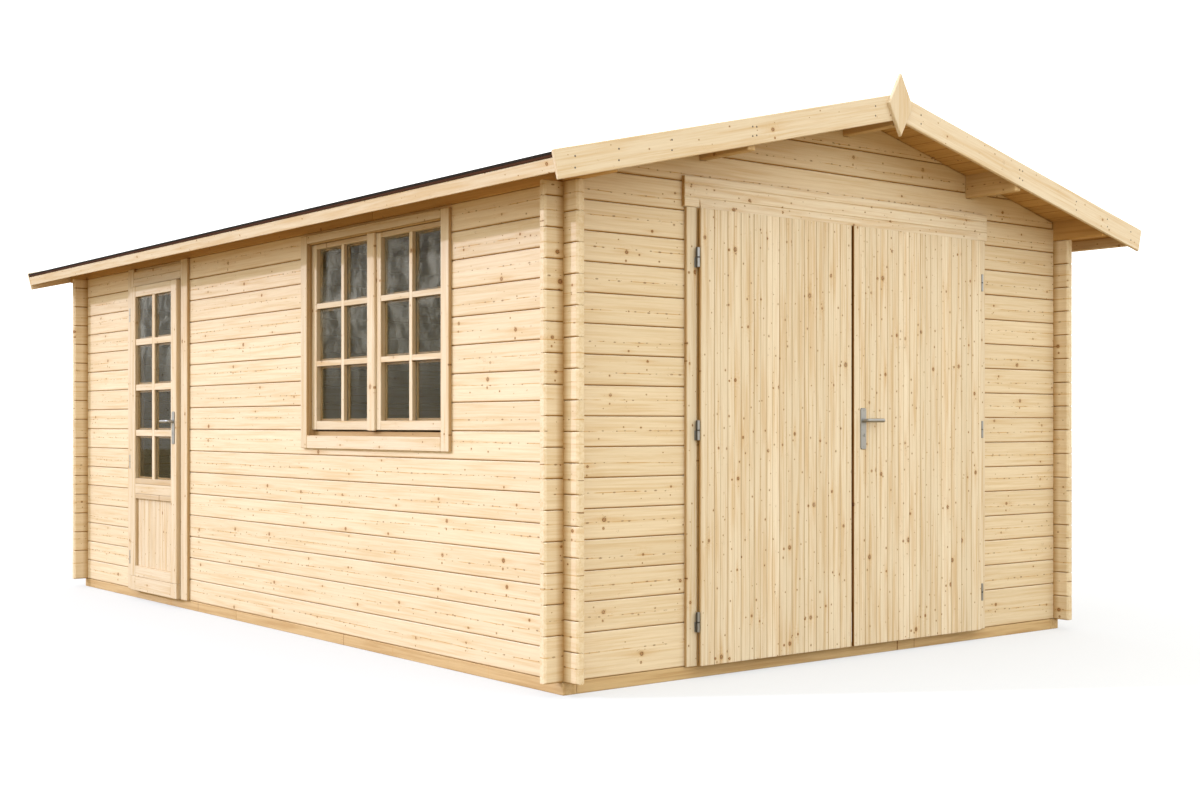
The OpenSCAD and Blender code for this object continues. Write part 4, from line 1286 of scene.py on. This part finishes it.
def window_frame():
    """Planed trims round the opening and the frame that lines it."""
    sides, cross = Box("window_side_trims"), Box("window_cross_trims")
    stiles, rails, sash = Box("window_frame_stiles"), Box("window_frame_rails"), Box("sash_stiles")
    t = Joinery(101, sides.middle)
    t.uprights(sides.half, cross.half, 0, TRIM_T, sides.z0, sides.z1, 0.003, TRIM_SIDE_SHADE)
    for z0, z1 in ((cross.z0, cross.z0 + sides.half - cross.half),
                   (cross.z1 - WINDOW_HEAD, cross.z1)):
        t.cross(cross.half - SEAT, 0, TRIM_T, z0, z1, 0.003, TRIM_SIDE_SHADE)
    t.object("window_trim_boards", PLANED, "window_side_trims", "window_cross_trims")

    t = Joinery(102, sides.middle)
    depth = stiles.x1 + HALF_W
    t.uprights(stiles.half, rails.half, -depth, 0, stiles.z0, stiles.z1 - SEAT)
    for z0, z1, out in ((rails.z0, sash.z0 - SILL_GAP, SILL_BACK),
                        (sash.z1 + SASH_GAP, rails.z1 - SEAT, 0)):
        t.cross(rails.half - SEAT, -depth, out, z0, z1)
    t.object("window_frame_boards", FRAMES, "window_frame_stiles", "window_frame_rails")


def window_sashes():
    """Two sashes of six panes, the rear one with the cover strip over the joint."""
    stiles = Box("sash_stiles")
    front, back = depths(stiles)
    glass_out, glass_in = (depth - GLASS_BACK for depth in depths(Box("window_glass")))
    foot, top = stiles.z0, stiles.z1
    pane0, pane1 = foot + SASH_FOOT, top - SASH_HEAD
    gap = SASH_GAP / 2

    t, panes, beads = (Joinery(seed, stiles.middle) for seed in (103, 104, 105))
    for a0, a1 in ((-stiles.half, -gap), (gap, stiles.half)):
        for a in (a0, a1 - SASH_W):
            t.board(a, a + SASH_W, back, front, foot, top, 0.0022, REVEAL_SHADE)
        b0, b1 = a0 + SASH_W, a1 - SASH_W
        for z0, z1 in ((foot, pane0), (pane1, top)):
            t.board(b0 + SEAT, b1 - SEAT, back, front, z0, z1, 0.0022, REVEAL_SHADE, "y")
        glazing(t, beads, (b0, b1), (pane0, pane1), 2, 3, SASH_BAR_W, (glass_out, glass_in),
                front - 0.001, back + 0.006)
        panes.board(b0 - PANE_IN, b1 + PANE_IN, glass_in, glass_out, pane0 - PANE_IN,
                    pane1 + PANE_IN, 0.0004)
    t.board(-COVER_LEFT, COVER_RIGHT, front, front + COVER_T, foot - COVER_PAST,
            top + COVER_PAST, 0.003)
    t.object("sash_members", PLANED, "sash_stiles", "sash_rails")
    panes.object("window_panes", GLASS, "window_glass")
    beads.object("sash_glazing_beads", FRAMES)


# --- studio ---


def plane(name, height, colour, glow, camera_sees):
    """A wide level stage plane, for the camera alone or for the light alone."""
    mesh = bpy.data.meshes.new(name)
    r = 60
    mesh.from_pydata([(-r, -r, height), (r, -r, height), (r, r, height), (-r, r, height)], [],
                     [[0, 1, 2, 3]])
    g = Graph(name)
    g.surface("Base Color", (*colour, 1))
    g.surface("Roughness", 1)
    g.surface("Specular IOR Level", 0)
    if glow:
        g.surface("Emission Color", (1, 1, 1, 1))
        g.surface("Emission Strength", glow)
    mesh.materials.append(g.material)
    floor = bpy.data.objects.new(name, mesh)
    bpy.context.scene.collection.objects.link(floor)
    floor.visible_camera = camera_sees
    for others in ("diffuse", "glossy", "transmission", "shadow"):
        setattr(floor, "visible_" + others, not camera_sees)


def lamp(name, heading, elevation, energy, colour, spread):
    """A distant lamp in the direction of heading, as high as elevation; angles in degrees."""
    light = bpy.data.lights.new(name, "SUN")
    light.energy = energy
    light.color = colour
    light.angle = radians(spread)
    towards = Vector((*heading, 0)).normalized() * cos(radians(elevation))
    towards.z = sin(radians(elevation))
    lamp_object = bpy.data.objects.new(name, light)
    lamp_object.rotation_euler = towards.to_track_quat("Z", "Y").to_euler()
    bpy.context.scene.collection.objects.link(lamp_object)


def studio():
    """A white floor and surround, a low soft sun from the left, and the camera."""
    plane("floor", 0, (0.3, 0.3, 0.3), 0.55, True)
    plane("ground", -0.002, (0.35, 0.27, 0.15), 0, False)

    world = bpy.data.worlds.new("studio")
    world.use_nodes = True
    background = world.node_tree.nodes["Background"]
    background.inputs["Color"].default_value = (0.97, 0.985, 0.975, 1)
    background.inputs["Strength"].default_value = 1.75
    bpy.context.scene.world = world

    lamp("key", (-0.85, 0.53), 25, 2.3, (0.66, 0.7, 1), 2)
    lamp("fill", (-0.1, -1), 16, 0.55, (0.83, 0.98, 0.98), 80)
    lamp("side", (-1, -0.15), 6, 0.27, (0.8, 1, 0.75), 50)

    camera = bpy.data.cameras.new("camera")
    camera.sensor_width = 36
    camera.lens = 46.05
    camera.shift_y = 0.01846
    eye = bpy.data.objects.new("camera", camera)
    eye.location = (-5.535, -7.864, 1.1246)
    eye.rotation_euler = (radians(90), 0, radians(-38.3))
    bpy.context.scene.collection.objects.link(eye)
    bpy.context.scene.camera = eye
    bpy.context.scene.view_settings.view_transform = "Standard"


# --- scene ---

for build in (foundation, side_walls, gable_walls, eave_logs, purlins, roof_boards, roof_felt,
              fascias, bargeboards, diamonds, nails, double_door_frame, double_door_header,
              leaves, hinges, handles, side_door_frame, side_door, window_frame, window_sashes,
              studio):
    build()
